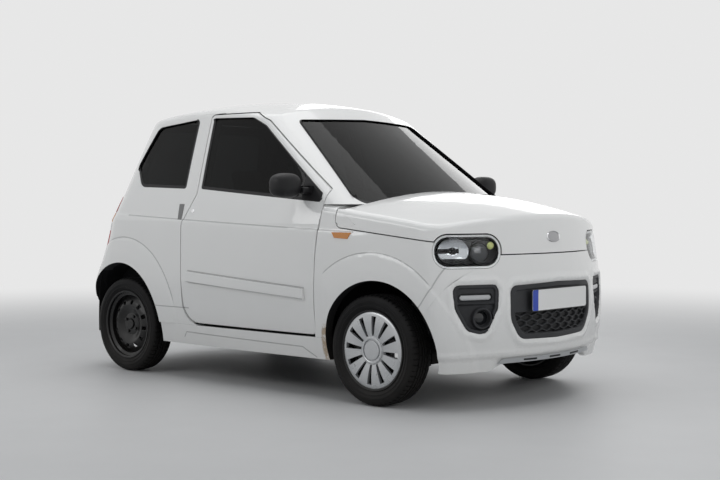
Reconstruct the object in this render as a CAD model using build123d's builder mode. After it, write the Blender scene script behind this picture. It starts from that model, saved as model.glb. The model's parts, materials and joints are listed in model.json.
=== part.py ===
"""A small licence-free car of two seats, as separate jointed pieces.

Frame: millimetres, +X towards the nose, +Y to the left, +Z up. The origin is on the ground,
below the middle of the overall length and on the centre plane.
"""

import os
from collections import namedtuple
from math import cos, dist, radians, sin, sqrt

from build123d import *

# ---------------------------------------------------------------- driving dimensions
overall_length = 2970
overall_height = 1530
wheelbase = 1892
front_overhang = 594
tyre_diameter = 533
tyre_width = 145
track = 1263
rim_diameter = 368
rim_width = 128

shut_gap = 5.5  # between panels that move past each other
scuttle_gap = 18  # between the bonnet and the windscreen
seam = 0.4  # between fixed pieces that lie against each other
door_wall = 58
roof_wall = 34
wing_wall = 46
wing_inner_y = 500
bonnet_wall = 24
bumper_wall = 40
plate_thickness = 5
glass_thickness = 5
glass_recess = 4  # the glass lies this far inside the outer skin

kingpin_offset = 30  # kingpin axis inboard of the middle of the tyre
arch_radius = 330
arch_lead = 30  # the front arch stands this far ahead of its axle
rear_arch_radius = 350
rear_arch_trail = 18  # the rear arch stands this far behind its axle
arch_height = 270

# ---------------------------------------------------------------- places worked out
nose_x = overall_length / 2
tail_x = -nose_x
front_axle_x = nose_x - front_overhang
rear_axle_x = front_axle_x - wheelbase
axle_z = tyre_diameter / 2
wheel_y = track / 2
kingpin_y = wheel_y - kingpin_offset
front_arch_x = front_axle_x + arch_lead

# ---------------------------------------------------------------- the outer form
# Plan outlines at rising heights. Each runs from the nose round a corner, along a bowed side
# and round a rear corner to the tail. half_width is taken at the widest place of the side.
side_bow_radius = 14000
side_bow_x = -150
nose_bow_radius = 1260
tail_bow_radius = 1500

Level = namedtuple("Level", "z nose tail half_width nose_corner tail_corner")

sill_z = 180
waist_z = 860  # height of the shoulder crease
nose_top_z = 1060
greenhouse_top_z = 1560
nose_back_x = 480  # the nose form reaches back inside the cabin to here
tail_front_x = 640  # the lower cabin form reaches forward to here

nose_levels = [
    Level(sill_z, nose_x - 45, 0, 694, 120, 0),
    Level(430, nose_x - plate_thickness, 0, 738, 130, 0),
    Level(680, nose_x - 22, 0, 746, 150, 0),
    Level(nose_top_z, nose_x - 90, 0, 690, 170, 0),
]
tail_levels = [
    Level(sill_z, 0, tail_x + 50, 694, 0, 165),
    Level(430, 0, tail_x + plate_thickness, 738, 0, 165),
    Level(640, 0, tail_x + 62, 746, 0, 200),
    Level(waist_z, 0, tail_x + 142, 736, 0, 190),
]
greenhouse_levels = [
    Level(waist_z, 990, tail_x + 142, 736, 130, 190),
    Level(1000, 790, tail_x + 205, 697, 125, 230),
    Level(1230, 462, tail_x + 300, 627, 120, 245),
    Level(greenhouse_top_z, -10, tail_x + 465, 520, 110, 225),
]


def crossing(centre_a, radius_a, centre_b, radius_b, ahead):
    """Return the crossing of two circles that lies further ahead, or further back."""
    dx = centre_b[0] - centre_a[0]
    dy = centre_b[1] - centre_a[1]
    apart = sqrt(dx * dx + dy * dy)
    along = (radius_a**2 - radius_b**2 + apart**2) / (2 * apart)
    across = sqrt(radius_a**2 - along**2)
    foot_x = centre_a[0] + along * dx / apart
    foot_y = centre_a[1] + along * dy / apart
    crossings = [
        (foot_x - turn * across * dy / apart, foot_y + turn * across * dx / apart)
        for turn in (1, -1)
    ]
    return max(crossings) if ahead else min(crossings)


def reach(centre, towards, radius):
    """Return the point of a circle that lies towards another point."""
    share = radius / dist(centre, towards)
    return (
        centre[0] + share * (towards[0] - centre[0]),
        centre[1] + share * (towards[1] - centre[1]),
    )


def side_point(side_centre, x):
    """Return the point of the bowed side at a place along the car."""
    return (x, side_centre[1] + sqrt(side_bow_radius**2 - (x - side_centre[0]) ** 2))


def end_corner(side_centre, end_centre, end_radius, radius, ahead):
    """Return a rounded corner between the side and an end, as three points from side to end."""
    centre = crossing(
        side_centre, side_bow_radius - radius, end_centre, end_radius - radius, ahead
    )
    sharp = crossing(side_centre, side_bow_radius, end_centre, end_radius, ahead)
    on_side = reach(side_centre, centre, side_bow_radius)
    on_end = reach(end_centre, centre, end_radius)
    return on_side, reach(centre, sharp, radius), on_end


def half_plan(level, inset, back_x=None, front_x=None):
    """Sketch the left half of a plan outline, cut square at back_x or front_x where given."""
    side_centre = (side_bow_x, level.half_width - inset - side_bow_radius)
    with BuildSketch() as plan:
        with BuildLine():
            if front_x is None:
                nose = (level.nose - inset, 0)
                nose_centre = (nose[0] - nose_bow_radius, 0)
                corner_radius = max(level.nose_corner - inset, 40)
                front = end_corner(side_centre, nose_centre, nose_bow_radius, corner_radius, True)
                halfway = ((nose[0] + front[2][0]) / 2, front[2][1] / 2)
                ThreePointArc(nose, reach(nose_centre, halfway, nose_bow_radius), front[2])
                ThreePointArc(front[2], front[1], front[0])
                side_start = front[0]
            else:
                nose = (front_x, 0)
                side_start = side_point(side_centre, front_x)
                Line(nose, side_start)
            if back_x is None:
                tail = (level.tail + inset, 0)
                tail_centre = (tail[0] + tail_bow_radius, 0)
                corner_radius = max(level.tail_corner - inset, 40)
                rear = end_corner(side_centre, tail_centre, tail_bow_radius, corner_radius, False)
                side_end = rear[0]
            else:
                tail = (back_x, 0)
                side_end = side_point(side_centre, back_x)
            halfway = ((side_start[0] + side_end[0]) / 2, side_start[1])
            ThreePointArc(side_start, reach(side_centre, halfway, side_bow_radius), side_end)
            if back_x is None:
                ThreePointArc(rear[0], rear[1], rear[2])
                halfway = ((tail[0] + rear[2][0]) / 2, rear[2][1] / 2)
                ThreePointArc(rear[2], reach(tail_centre, halfway, tail_bow_radius), tail)
            else:
                Line(side_end, tail)
            Line(tail, nose)
        make_face()
    return plan.sketch


def half_form(levels, inset=0, back_x=None, front_x=None):
    """Loft the left half of the car through plan outlines, made smaller all round by inset."""
    with BuildPart() as form:
        for level in levels:
            with BuildSketch(Plane.XY.offset(level.z)):
                add(half_plan(level, inset, back_x, front_x))
        loft()
    return form.part


# Crown of the bonnet: an arch across the car at each station, from the middle to the side.
Arch = namedtuple("Arch", "x middle_z side_z")
arch_half_width = 760
bonnet_arches = [
    Arch(nose_back_x - 10, 1036, 960),
    Arch(850, 1018, 885),
    Arch(1180, 976, 828),
    Arch(nose_x + 40, 862, 745),
]
bonnet_edge_radius = 46
cutter_top_z = 1300


def half_nose(inset=0, drop=0, edge_radius=0):
    """Return the left half of the nose below the crowned bonnet surface, lowered by drop."""
    with BuildPart() as above:
        for arch in bonnet_arches:
            middle = (0, arch.middle_z - drop)
            edge_z = arch.side_z - drop
            with BuildSketch(Plane.YZ.offset(arch.x)):
                with BuildLine():
                    ThreePointArc((-arch_half_width, edge_z), middle, (arch_half_width, edge_z))
                    Polyline(
                        (arch_half_width, edge_z),
                        (arch_half_width, cutter_top_z),
                        (-arch_half_width, cutter_top_z),
                        (-arch_half_width, edge_z),
                    )
                make_face()
        loft()
    with BuildPart() as nose:
        add(half_form(nose_levels, inset, back_x=nose_back_x))
        add(above.part, mode=Mode.SUBTRACT)
        if edge_radius:
            rim = nose.edges().filter_by(
                lambda edge: edge.center().X > nose_back_x + 20
                and edge.center().Y > 20
                and edge.center().Z > 800
            )
            fillet(rim, edge_radius)
    return nose.part


# Crown of the roof: an arch across the car, swept about a low axis along it.
roof_crown_x = -440
roof_long_radius = 3000
roof_cross_rise = 62  # at roof_half_width from the middle
roof_half_width = 520
roof_edge_radius = 60
roof_crown_sweep = 34


def half_greenhouse(inset=0, drop=0, edge_radius=0):
    """Return the left half of the cabin above the shoulder, below the crowned roof."""
    top_z = overall_height - drop
    rise = roof_cross_rise * arch_half_width**2 / roof_half_width**2
    with BuildPart() as above:
        with BuildSketch(Plane.YZ.offset(roof_crown_x)):
            with BuildLine():
                ThreePointArc((-arch_half_width, top_z - rise), (0, top_z), (arch_half_width, top_z - rise))
                Polyline(
                    (arch_half_width, top_z - rise),
                    (arch_half_width, cutter_top_z + 400),
                    (-arch_half_width, cutter_top_z + 400),
                    (-arch_half_width, top_z - rise),
                )
            make_face()
        revolve(
            axis=Axis((roof_crown_x, 0, top_z - roof_long_radius), (0, 1, 0)),
            revolution_arc=2 * roof_crown_sweep,
        )
    centre_line = Axis((roof_crown_x, 0, top_z - roof_long_radius), (0, 1, 0))
    with BuildPart() as greenhouse:
        add(half_form(greenhouse_levels, inset))
        add(above.part.rotate(centre_line, -roof_crown_sweep), mode=Mode.SUBTRACT)
        if edge_radius:
            rim = greenhouse.edges().filter_by(
                lambda edge: edge.center().Y > 20 and edge.center().Z > 1400
            )
            fillet(rim, edge_radius)
    return greenhouse.part


# ---------------------------------------------------------------- outlines of the panels
# Side outlines are (x, z) in the centre plane; end outlines are (y, z) on a cross plane.
door_front_x = 525  # lowest front corner
door_rear_x = -458
door_bottom_z = 315
sill_seam_z = 305
pillar_foot_z = 958
roof_seam_z = 1446
bonnet_seam_z = 728
bumper_seam_x = 1198
rear_bumper_z = 568

door_outline = [
    (door_front_x, door_bottom_z, 25),
    (540, 686, 0),
    (569, 985, 0),
    (569, 1030, 18),
    (60, 1390, 60),
    (-60, 1438, 60),
    (-403, 1438, 22),
    (-378, 1010, 40),
    (door_rear_x, 850, 70),
    (door_rear_x, door_bottom_z, 110),
]
door_window = [
    (548, 968, 14),
    (545, 1012, 16),
    (50, 1366, 60),
    (-60, 1412, 60),
    (-384, 1420, 22),
    (-356, 1036, 14),
]
quarter_window = [
    (-484, 1038, 16),
    (-900, 1050, 70),
    (-975, 1160, 60),
    (-850, 1385, 60),
    (-500, 1418, 22),
]
bonnet_side = [
    (652, 1150, 0),
    (664, 850, 40),
    (1240, 790, 0),
    (1368, bonnet_seam_z, 0),
    (1650, bonnet_seam_z, 0),
    (1650, 1150, 0),
]
front_bumper_side = [
    (1380, 800, 0),
    (1367, 673, 0),
    (bumper_seam_x, 448, 0),
    (bumper_seam_x, 100, 0),
    (1650, 100, 0),
    (1650, 800, 0),
]
screen_half = [
    (-20, 940, 0),
    (590, 962, 40),
    (446, 1398, 40),
    (0, 1412, 0),
    (-20, 1412, 0),
]
tailgate_half = [
    (-20, 578, 0),
    (565, 578, 60),
    (575, 900, 0),
    (548, 1030, 60),
    (450, 1424, 50),
    (-20, 1432, 0),
]
rear_window_half = [
    (-20, 1012, 0),
    (488, 1012, 50),
    (408, 1372, 50),
    (-20, 1384, 0),
]


def outline_face(points, grow=0):
    """Sketch a closed outline of lines with rounded corners, grown outwards by grow."""
    with BuildSketch() as outline:
        with BuildLine():
            Polyline(*[(u, v) for u, v, _ in points], close=True)
        make_face()
        for u, v, radius in points:
            if radius:
                spot = outline.vertices().sort_by_distance((u, v))[0]
                fillet(spot, radius)
        if grow:
            offset(amount=grow, kind=Kind.INTERSECTION)
    return outline.sketch


def side_prism(points, grow=0):
    """Extrude a side outline through the left half of the car."""
    with BuildPart() as prism:
        with BuildSketch(Plane.XZ.offset(40)):
            add(outline_face(points, grow))
        extrude(amount=-940)
    return prism.part


def end_prism(points, from_x, to_x, grow=0):
    """Extrude a cross outline along the car from one place to another."""
    with BuildPart() as prism:
        with BuildSketch(Plane.YZ.offset(from_x)):
            add(outline_face(points, grow))
        extrude(amount=to_x - from_x)
    return prism.part


def block(x_range, y_range, z_range):
    """Return a plain block between two limits on each axis."""
    middle = [(low + high) / 2 for low, high in (x_range, y_range, z_range)]
    lengths = [high - low for low, high in (x_range, y_range, z_range)]
    with BuildPart() as cuboid:
        with Locations(tuple(middle)):
            Box(*lengths)
    return cuboid.part


def cross_cylinder(x, z, radius, y_range):
    """Return a cylinder along Y between two places across the car."""
    with BuildPart() as bar:
        with BuildSketch(Plane.XZ.offset(-y_range[0])):
            with Locations((x, z)):
                Circle(radius)
        extrude(amount=-(y_range[1] - y_range[0]))
    return bar.part


def whole(half):
    """Join a left half and its mirror image into one piece."""
    with BuildPart() as joined:
        add(half)
        mirror(about=Plane.XZ)
    return joined.part


def right_of(left):
    """Return the mirror image of a left-hand piece."""
    with BuildPart() as right:
        add(left)
        mirror(about=Plane.XZ, mode=Mode.REPLACE)
    return right.part


def cut_from(body, kept=(), removed=()):
    """Return a body limited to each kept region and less each removed one."""
    with BuildPart() as piece:
        add(body)
        for region in kept:
            add(region, mode=Mode.INTERSECT)
        for region in removed:
            add(region, mode=Mode.SUBTRACT)
    return piece.part


os.makedirs("parts", exist_ok=True)


def save(label, part):
    """Label a finished piece and write it."""
    part.label = label
    export_step(part, f"parts/{label}.step")


# ---------------------------------------------------------------- skins and cores
far = 2000
nose_skin = half_nose(edge_radius=bonnet_edge_radius)
wing_core = half_nose(wing_wall, wing_wall)
bonnet_core = half_nose(bonnet_wall, bonnet_wall)
lower_skin = half_form(tail_levels, front_x=tail_front_x)
lower_core = half_form(tail_levels, door_wall, front_x=tail_front_x + 10)
upper_skin = half_greenhouse(edge_radius=roof_edge_radius)
upper_core = half_greenhouse(door_wall, roof_wall)
with BuildPart() as cabin_skin:
    add(lower_skin)
    add(upper_skin)
with BuildPart() as cabin_core:
    add(lower_core)
    add(upper_core)
with BuildPart() as roof_core:
    add(half_greenhouse(roof_wall, roof_wall))

front_arch = cross_cylinder(front_arch_x, arch_height, arch_radius, (380, 900))
rear_arch = cross_cylinder(
    rear_axle_x - rear_arch_trail, arch_height, rear_arch_radius, (380, 900)
)
door_region = side_prism(door_outline)
door_clear = side_prism(door_outline, shut_gap)
tailgate_region = end_prism(tailgate_half, -1700, -800)
tailgate_clear = end_prism(tailgate_half, -1700, -800, shut_gap)
bonnet_region = side_prism(bonnet_side)
bonnet_clear = side_prism(bonnet_side, shut_gap)
screen_clear = half_greenhouse(-scuttle_gap, -scuttle_gap)

# ---------------------------------------------------------------- lamps in the corners
lamp_plane = Plane(origin=(1322, 520, 742), x_dir=(-0.70, 0.714, 0), z_dir=(0.714, 0.70, 0))
lamp_width = 330
lamp_height = 156
fog_plane = Plane(origin=(1362, 505, 478), x_dir=(-0.60, 0.80, 0), z_dir=(0.80, 0.60, 0))
fog_outline = [
    (-118, 112, 34),
    (118, 112, 34),
    (104, 0, 60),
    (44, -100, 70),
    (-50, -124, 50),
    (-112, 0, 60),
]
rear_lamp_outline = [(590, 720, 18), (690, 700, 18), (660, 985, 30), (600, 1000, 18)]
lamp_depth = 60


def oblique_prism(plane, face, back, front):
    """Extrude a face on a tilted plane, from behind it to in front of it."""
    with BuildPart() as prism:
        with BuildSketch(plane.offset(back)):
            add(face)
        extrude(amount=front - back)
    return prism.part


def lamp_face(grow=0):
    """Sketch the rounded outline of a headlamp."""
    with BuildSketch() as face:
        RectangleRounded(lamp_width + 2 * grow, lamp_height + 2 * grow, lamp_height / 2 - 6 + grow)
    return face.sketch


lamp_region = oblique_prism(lamp_plane, lamp_face(), -150, 200)
lamp_clear = oblique_prism(lamp_plane, lamp_face(shut_gap), -150, 200)
lamp_seat = oblique_prism(lamp_plane, lamp_face(seam), -150, 200)
fog_region = oblique_prism(fog_plane, outline_face(fog_outline), -160, 200)
fog_clear = oblique_prism(fog_plane, outline_face(fog_outline, seam), -160, 200)
rear_lamp_region = end_prism(rear_lamp_outline, -1700, -1130)
rear_lamp_clear = end_prism(rear_lamp_outline, -1700, -1130, seam)

# ---------------------------------------------------------------- doors
door_left = cut_from(cabin_skin.part, [door_region], [cabin_core.part, side_prism(door_window)])
save("door_left", door_left)
save("door_right", right_of(door_left))


glass_outer = half_greenhouse(glass_recess, glass_recess)
glass_inner = half_greenhouse(glass_recess + glass_thickness, glass_recess + glass_thickness)
glass_layer = cut_from(glass_outer, removed=[glass_inner])


def glass_sheet(window):
    """Return the sheet of glass that fills a window of the cabin's left half."""
    return cut_from(glass_layer, [window])


door_glass = glass_sheet(side_prism(door_window, -seam))
save("door_glass_left", door_glass)
save("door_glass_right", right_of(door_glass))

# ---------------------------------------------------------------- cabin body
above_seam = block((-far, far), (-1, far), (roof_seam_z, far))
below_seam = block((-far, far), (-1, far), (sill_seam_z, roof_seam_z - seam))
behind_door = block((-far, door_rear_x + 100), (-1, far), (-1, far))
rear_bumper_zone = block((-far, rear_axle_x), (-1, far), (0, rear_bumper_z))
screen_opening = end_prism(screen_half, -100, 1200)

quarter_left = cut_from(
    cabin_skin.part,
    [behind_door, below_seam],
    [
        cabin_core.part,
        door_clear,
        tailgate_clear,
        side_prism(quarter_window),
        rear_bumper_zone,
        rear_arch,
        rear_lamp_clear,
    ],
)
save("rear_quarter_left", quarter_left)
save("rear_quarter_right", right_of(quarter_left))

quarter_glass = glass_sheet(side_prism(quarter_window, -seam))
save("quarter_glass", whole(quarter_glass))

pillar_half = cut_from(
    upper_skin,
    [block((-350, far), (-1, far), (pillar_foot_z, roof_seam_z))],
    [roof_core.part, door_clear, screen_opening, block((-far, -300), (-1, far), (0, far))],
)
roof_rear_half = cut_from(upper_skin, [above_seam], [roof_core.part, tailgate_clear, screen_opening])
with BuildPart() as roof_left:
    add(pillar_half)
    add(roof_rear_half)
save("roof", whole(roof_left.part))

windscreen_half = glass_sheet(end_prism(screen_half, 0, 1200, -seam))
save("windscreen", whole(windscreen_half))

tailgate_body = cut_from(
    cabin_skin.part,
    [tailgate_region],
    [cabin_core.part, end_prism(rear_window_half, -1700, -800)],
)
save("tailgate", whole(tailgate_body))
rear_glass_half = glass_sheet(end_prism(rear_window_half, -1700, -800, -seam))
save("rear_glass", whole(rear_glass_half))

rear_bumper_half = cut_from(
    lower_skin,
    [block((-far, rear_axle_x), (-1, far), (sill_z, rear_bumper_z - seam))],
    [half_form(tail_levels, bumper_wall, front_x=tail_front_x), rear_arch, tailgate_clear],
)
save("rear_bumper", whole(rear_bumper_half))

sill_half = cut_from(
    lower_skin,
    [block((rear_axle_x, front_axle_x), (-1, far), (sill_z + 15, sill_seam_z - seam))],
    [half_form(tail_levels, bumper_wall + 30, front_x=tail_front_x), rear_arch, front_arch],
)
save("sills", whole(sill_half))

# Rubber seals on the inner rims of the door and tailgate openings.
seal_thickness = 9
seal_lap = 13
tailgate_seal_top_z = 1250


def cabin_inside(inset):
    """Return the left half of the cabin's inside, smaller all round by inset."""
    with BuildPart() as inside:
        add(half_form(tail_levels, inset, front_x=tail_front_x + 10))
        add(half_greenhouse(inset, inset))
    return inside.part


seal_layer = cut_from(
    cabin_inside(door_wall + seam), removed=[cabin_inside(door_wall + seam + seal_thickness)]
)
wing_zone = cut_from(
    nose_skin,
    [block((door_front_x - seam, far), (-1, far), (0, far))],
    [half_nose(wing_wall + seam, wing_wall + seam)],
)
with BuildPart() as seals:
    add(
        cut_from(
            seal_layer,
            [side_prism(door_outline, seal_lap)],
            [
                side_prism(door_outline, -seal_lap),
                block((-far, far), (-1, far), (0, sill_seam_z + seam)),
                wing_zone,
            ],
        )
    )
    add(
        cut_from(
            seal_layer,
            [
                end_prism(tailgate_half, -1700, -800, seal_lap),
                block((-far, 0), (-1, far), (0, tailgate_seal_top_z)),
            ],
            [end_prism(tailgate_half, -1700, -800, -seal_lap)],
        )
    )
    mirror(about=Plane.XZ)
save("body_seals", seals.part)

# ---------------------------------------------------------------- nose
wing_left = cut_from(
    nose_skin,
    [block((door_front_x, far), (-1, far), (sill_seam_z, far))],
    [
        wing_core,
        door_clear,
        bonnet_clear,
        side_prism(front_bumper_side, seam),
        front_arch,
        lamp_seat,
        block((0, 720), (-1, far), (pillar_foot_z - seam, far)),
        block((0, far), (-1, wing_inner_y), (0, far)),
        fog_clear,
    ],
)
save("front_wing_left", wing_left)
save("front_wing_right", right_of(wing_left))

bonnet_shell = cut_from(nose_skin, [bonnet_region], [bonnet_core, lamp_clear, screen_clear])
save("bonnet", whole(bonnet_shell))

grille_outline = [(-20, 318, 0), (268, 326, 75), (330, 420, 110), (330, 580, 40), (-20, 590, 0)]
grille_region = end_prism(grille_outline, 1200, 1700)
bumper_core = half_nose(bumper_wall, bumper_wall)
front_bumper_half = cut_from(
    nose_skin,
    [side_prism(front_bumper_side)],
    [
        bumper_core,
        bonnet_clear,
        front_arch,
        lamp_seat,
        fog_clear,
        end_prism(grille_outline, 1200, 1700, seam),
    ],
)
save("front_bumper", whole(front_bumper_half))

front_plate_z = 507
grille_shell = cut_from(half_nose(3, 3), [grille_region], [half_nose(22, 22)])
with BuildPart() as grille_half:
    add(grille_shell)
    add(
        block(
            (nose_x - 45, nose_x - plate_thickness - seam),
            (-1, 160),
            (front_plate_z - 30, front_plate_z + 30),
        )
    )
save("grille", whole(grille_half.part))

lamp_left = cut_from(half_nose(2, 2, 40), [lamp_region], [half_nose(lamp_depth, lamp_depth)])
save("headlamps", whole(lamp_left))
fog_left = cut_from(half_nose(3, 3), [fog_region], [half_nose(bumper_wall + 10, 60)])
save("fog_lamps", whole(fog_left))
rear_lamp_left = cut_from(cabin_skin.part, [rear_lamp_region], [cabin_core.part])
save("rear_lamps", whole(rear_lamp_left))

# ---------------------------------------------------------------- chassis and cabin floor
floor_top_z = 275
floor_thickness = 50
engine_bay_half_width = 320
luggage_half_width = 480
bay_front_x = 1330
cabin_front_x = 585
cabin_rear_x = -665
bay_rear_x = -1430
luggage_floor_z = 300
sill_inner_inset = bumper_wall + 30 + seam

with BuildPart() as chassis_half:
    for inset, x_range, z_range, half_width in (
        (sill_inner_inset, (cabin_rear_x, cabin_front_x), (floor_top_z - floor_thickness, floor_top_z), far),
        (
            bumper_wall + seam,
            (bay_rear_x, cabin_rear_x + floor_thickness),
            (luggage_floor_z, luggage_floor_z + floor_thickness),
            luggage_half_width,
        ),
    ):
        add(
            cut_from(
                half_form(tail_levels, inset, front_x=tail_front_x),
                [block(x_range, (-1, half_width), z_range)],
            )
        )
    add(
        block(
            (cabin_rear_x, cabin_rear_x + floor_thickness),
            (0, luggage_half_width),
            (floor_top_z - floor_thickness, luggage_floor_z + floor_thickness),
        )
    )
    add(
        block(
            (cabin_front_x - 5, bay_front_x),
            (0, engine_bay_half_width),
            (floor_top_z - floor_thickness, floor_top_z),
        )
    )
with BuildPart() as chassis:
    add(chassis_half.part)
    mirror(about=Plane.XZ)
save("chassis", chassis.part)

engine_length = 430
engine_width = 520
engine_height = 390
engine_x = 985
with BuildPart() as engine:
    with Locations((engine_x, 0, floor_top_z + seam)):
        Box(
            engine_length,
            engine_width,
            engine_height,
            align=(Align.CENTER, Align.CENTER, Align.MIN),
        )
save("engine_block", engine.part)

# Bulkhead between engine bay and cabin, with the scuttle shelf and the stops that the bonnet rests on.
bulkhead_thickness = 40
scuttle_z = 900
stop_x = 800
stop_y = 440
stop_size = 24
scuttle_thickness = 25
stop_post = cut_from(
    block(
        (stop_x - stop_size / 2, stop_x + stop_size / 2),
        (stop_y - stop_size / 2, stop_y + stop_size / 2),
        (scuttle_z - scuttle_thickness, scuttle_z + 200),
    ),
    [half_nose(bonnet_wall + seam, bonnet_wall + seam)],
)
with BuildPart() as bulkhead:
    add(
        block(
            (cabin_front_x - bulkhead_thickness, cabin_front_x),
            (-engine_bay_half_width - 250, engine_bay_half_width + 250),
            (floor_top_z + seam, scuttle_z),
        )
    )
    add(
        block(
            (cabin_front_x - bulkhead_thickness, stop_x + stop_size / 2),
            (-engine_bay_half_width - 250, engine_bay_half_width + 250),
            (scuttle_z - scuttle_thickness, scuttle_z),
        )
    )
    add(whole(stop_post))
save("bulkhead", bulkhead.part)

# ---------------------------------------------------------------- dashboard and steering wheel
dash_back_x = 300
dash_bottom_z = 640
dash_top_z = 880
dash_half_width = 560
with BuildPart() as dashboard:
    with BuildSketch(Plane.XZ.offset(-dash_half_width)):
        with BuildLine():
            Polyline(
                (cabin_front_x - bulkhead_thickness - seam, dash_bottom_z),
                (cabin_front_x - bulkhead_thickness - seam, dash_top_z + 12),
                (dash_back_x + 90, dash_top_z),
                (dash_back_x, dash_top_z - 50),
                (dash_back_x + 20, dash_bottom_z + 90),
                (dash_back_x + 110, dash_bottom_z),
                close=True,
            )
        make_face()
    extrude(amount=2 * dash_half_width)
save("dashboard", dashboard.part)

steering_y = 290
steering_rim_radius = 175
steering_rim_thickness = 26
steering_tilt = 24
column_end = (dash_back_x + 12, steering_y, dash_top_z - 90)
column_axis = Vector(-cos(radians(steering_tilt)), 0, sin(radians(steering_tilt)))
wheel_plane = Plane(
    origin=Vector(*column_end) + column_axis * 130, x_dir=(0, 1, 0), z_dir=column_axis
)
with BuildPart() as steering_wheel:
    with BuildSketch(Plane.XZ):
        with Locations((steering_rim_radius, 0)):
            Circle(steering_rim_thickness / 2)
    revolve(axis=Axis.Z)
    Cylinder(52, 36)
    with PolarLocations(0, 3, start_angle=90):
        with Locations((steering_rim_radius / 2, 0, 0)):
            Box(steering_rim_radius, 34, 12)
    with Locations((0, 0, -64)):
        Cylinder(24, 128)
steering_part = cut_from(
    wheel_plane.from_local_coords(steering_wheel.part),
    removed=[Pos(-seam, 0, 0) * dashboard.part],
)
save("steering_wheel", steering_part)

# ---------------------------------------------------------------- seats
seat_y = 290
seat_width = 440
cushion_top_z = 500
seat_outline = [
    (185, 330, 30),
    (195, cushion_top_z - 10, 45),
    (-190, cushion_top_z - 40, 50),
    (-345, 1000, 40),
    (-440, 990, 40),
    (-345, 440, 60),
    (-300, 330, 30),
]
with BuildPart() as seat:
    with BuildSketch(Plane.XZ.offset(-seat_y - seat_width / 2)):
        add(outline_face(seat_outline))
    extrude(amount=seat_width)
    with BuildSketch(Plane.XZ.offset(-seat_y - seat_width / 4)):
        add(outline_face([(-352, 985, 0), (-385, 1150, 35), (-465, 1135, 35), (-432, 985, 0)]))
    extrude(amount=seat_width / 2)
    with Locations((-60, seat_y, floor_top_z + seam)):
        Box(380, seat_width - 60, 70, align=(Align.CENTER, Align.CENTER, Align.MIN))
with BuildPart() as seats:
    add(seat.part)
    mirror(about=Plane.XZ)
save("seats", seats.part)

# ---------------------------------------------------------------- wheels
bead_radius = rim_diameter / 2
tyre_radius = tyre_diameter / 2
tyre_half = tyre_width / 2
shoulder_width = 18
rim_flange = 9
disc_offset = 22
cover_radius = 183
hub_radius = 32


with BuildPart() as tyre:
    with BuildSketch(Plane.XZ):
        with BuildLine():
            Polyline(
                (tyre_radius - 14, tyre_half - 4),
                (tyre_radius - 3, tyre_half - shoulder_width),
                (tyre_radius, 0),
                (tyre_radius - 3, -tyre_half + shoulder_width),
                (tyre_radius - 14, -tyre_half + 4),
                (tyre_radius - 45, -tyre_half),
                (bead_radius + 2, -tyre_half + 14),
                (bead_radius + 2, tyre_half - 14),
                (tyre_radius - 45, tyre_half),
                close=True,
            )
        make_face()
    revolve(axis=Axis.Z)

with BuildPart() as rim:
    with BuildSketch(Plane.XZ):
        with BuildLine():
            Polyline(
                (bead_radius + 1.6, rim_width / 2 - 6),
                (bead_radius + 1.6, -rim_width / 2 + 6),
                (bead_radius - 8, -rim_width / 2 + 6),
                (bead_radius - 18, -rim_width / 4),
                (bead_radius - 18, disc_offset - 6),
                (hub_radius + 60, disc_offset + 14),
                (hub_radius, disc_offset - 4),
                (0, disc_offset - 4),
                (0, disc_offset + 10),
                (hub_radius + 8, disc_offset + 10),
                (hub_radius + 60, disc_offset + 24),
                (bead_radius - 12, disc_offset + 6),
                (bead_radius - 8, rim_width / 2 - 6),
                close=True,
            )
        make_face()
    revolve(axis=Axis.Z)

with BuildPart() as cover:
    with BuildSketch(Plane.XZ):
        with BuildLine():
            Polyline(
                (0, rim_width / 2 + 6),
                (60, rim_width / 2 + 6),
                (cover_radius - 30, rim_width / 2 + 8),
                (cover_radius, rim_width / 2 - 3),
                (cover_radius, rim_width / 2 - 5.6),
                (cover_radius - 30, rim_width / 2),
                (0, rim_width / 2 - 4),
                close=True,
            )
        make_face()
    revolve(axis=Axis.Z)
    with BuildSketch(Plane.XY.offset(0)):
        with PolarLocations(0, 12):
            add(outline_face([(88, -9, 4), (152, -15, 8), (152, 15, 8), (88, 9, 4)]))
    extrude(amount=100, mode=Mode.SUBTRACT)


def wheel_at(piece, x, side):
    """Place a wheel piece at an axle, with its outer face towards the given side."""
    plane = Plane(origin=(x, side * wheel_y, axle_z), x_dir=(1, 0, 0), z_dir=(0, side, 0))
    return plane.from_local_coords(piece)


for end, x in (("front", front_axle_x), ("rear", rear_axle_x)):
    for name, side in (("left", 1), ("right", -1)):
        save(f"tyre_{end}_{name}", wheel_at(tyre.part, x, side))
        save(f"rim_{end}_{name}", wheel_at(rim.part, x, side))
        if end == "front":
            save(f"wheel_cover_{name}", wheel_at(cover.part, x, side))

# ---------------------------------------------------------------- axles and knuckles
knuckle_gap = 0.3
stub_end_y = wheel_y + disc_offset - 4 - knuckle_gap
arm_z = 170
with BuildPart() as knuckle:
    add(cross_cylinder(front_axle_x, axle_z, 30, (wheel_y - 45, stub_end_y)))
    with Locations((front_axle_x, kingpin_y - 20, axle_z)):
        Box(60, 34, 150)
save("knuckle_left", knuckle.part)
save("knuckle_right", right_of(knuckle.part))

with BuildPart() as arms:
    with Locations((front_axle_x, (engine_bay_half_width + kingpin_y) / 2 - 10, arm_z)):
        Box(60, kingpin_y - engine_bay_half_width + 40, 24)
    with Locations((front_axle_x, engine_bay_half_width - 30, arm_z)):
        Box(
            120,
            60,
            floor_top_z - floor_thickness - arm_z,
            align=(Align.CENTER, Align.CENTER, Align.MIN),
        )
    with Locations((front_axle_x, kingpin_y, arm_z)):
        Cylinder(12, axle_z - 75 - knuckle_gap - arm_z, align=(Align.CENTER, Align.CENTER, Align.MIN))
    mirror(about=Plane.XZ)
save("lower_arms", arms.part)

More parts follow.
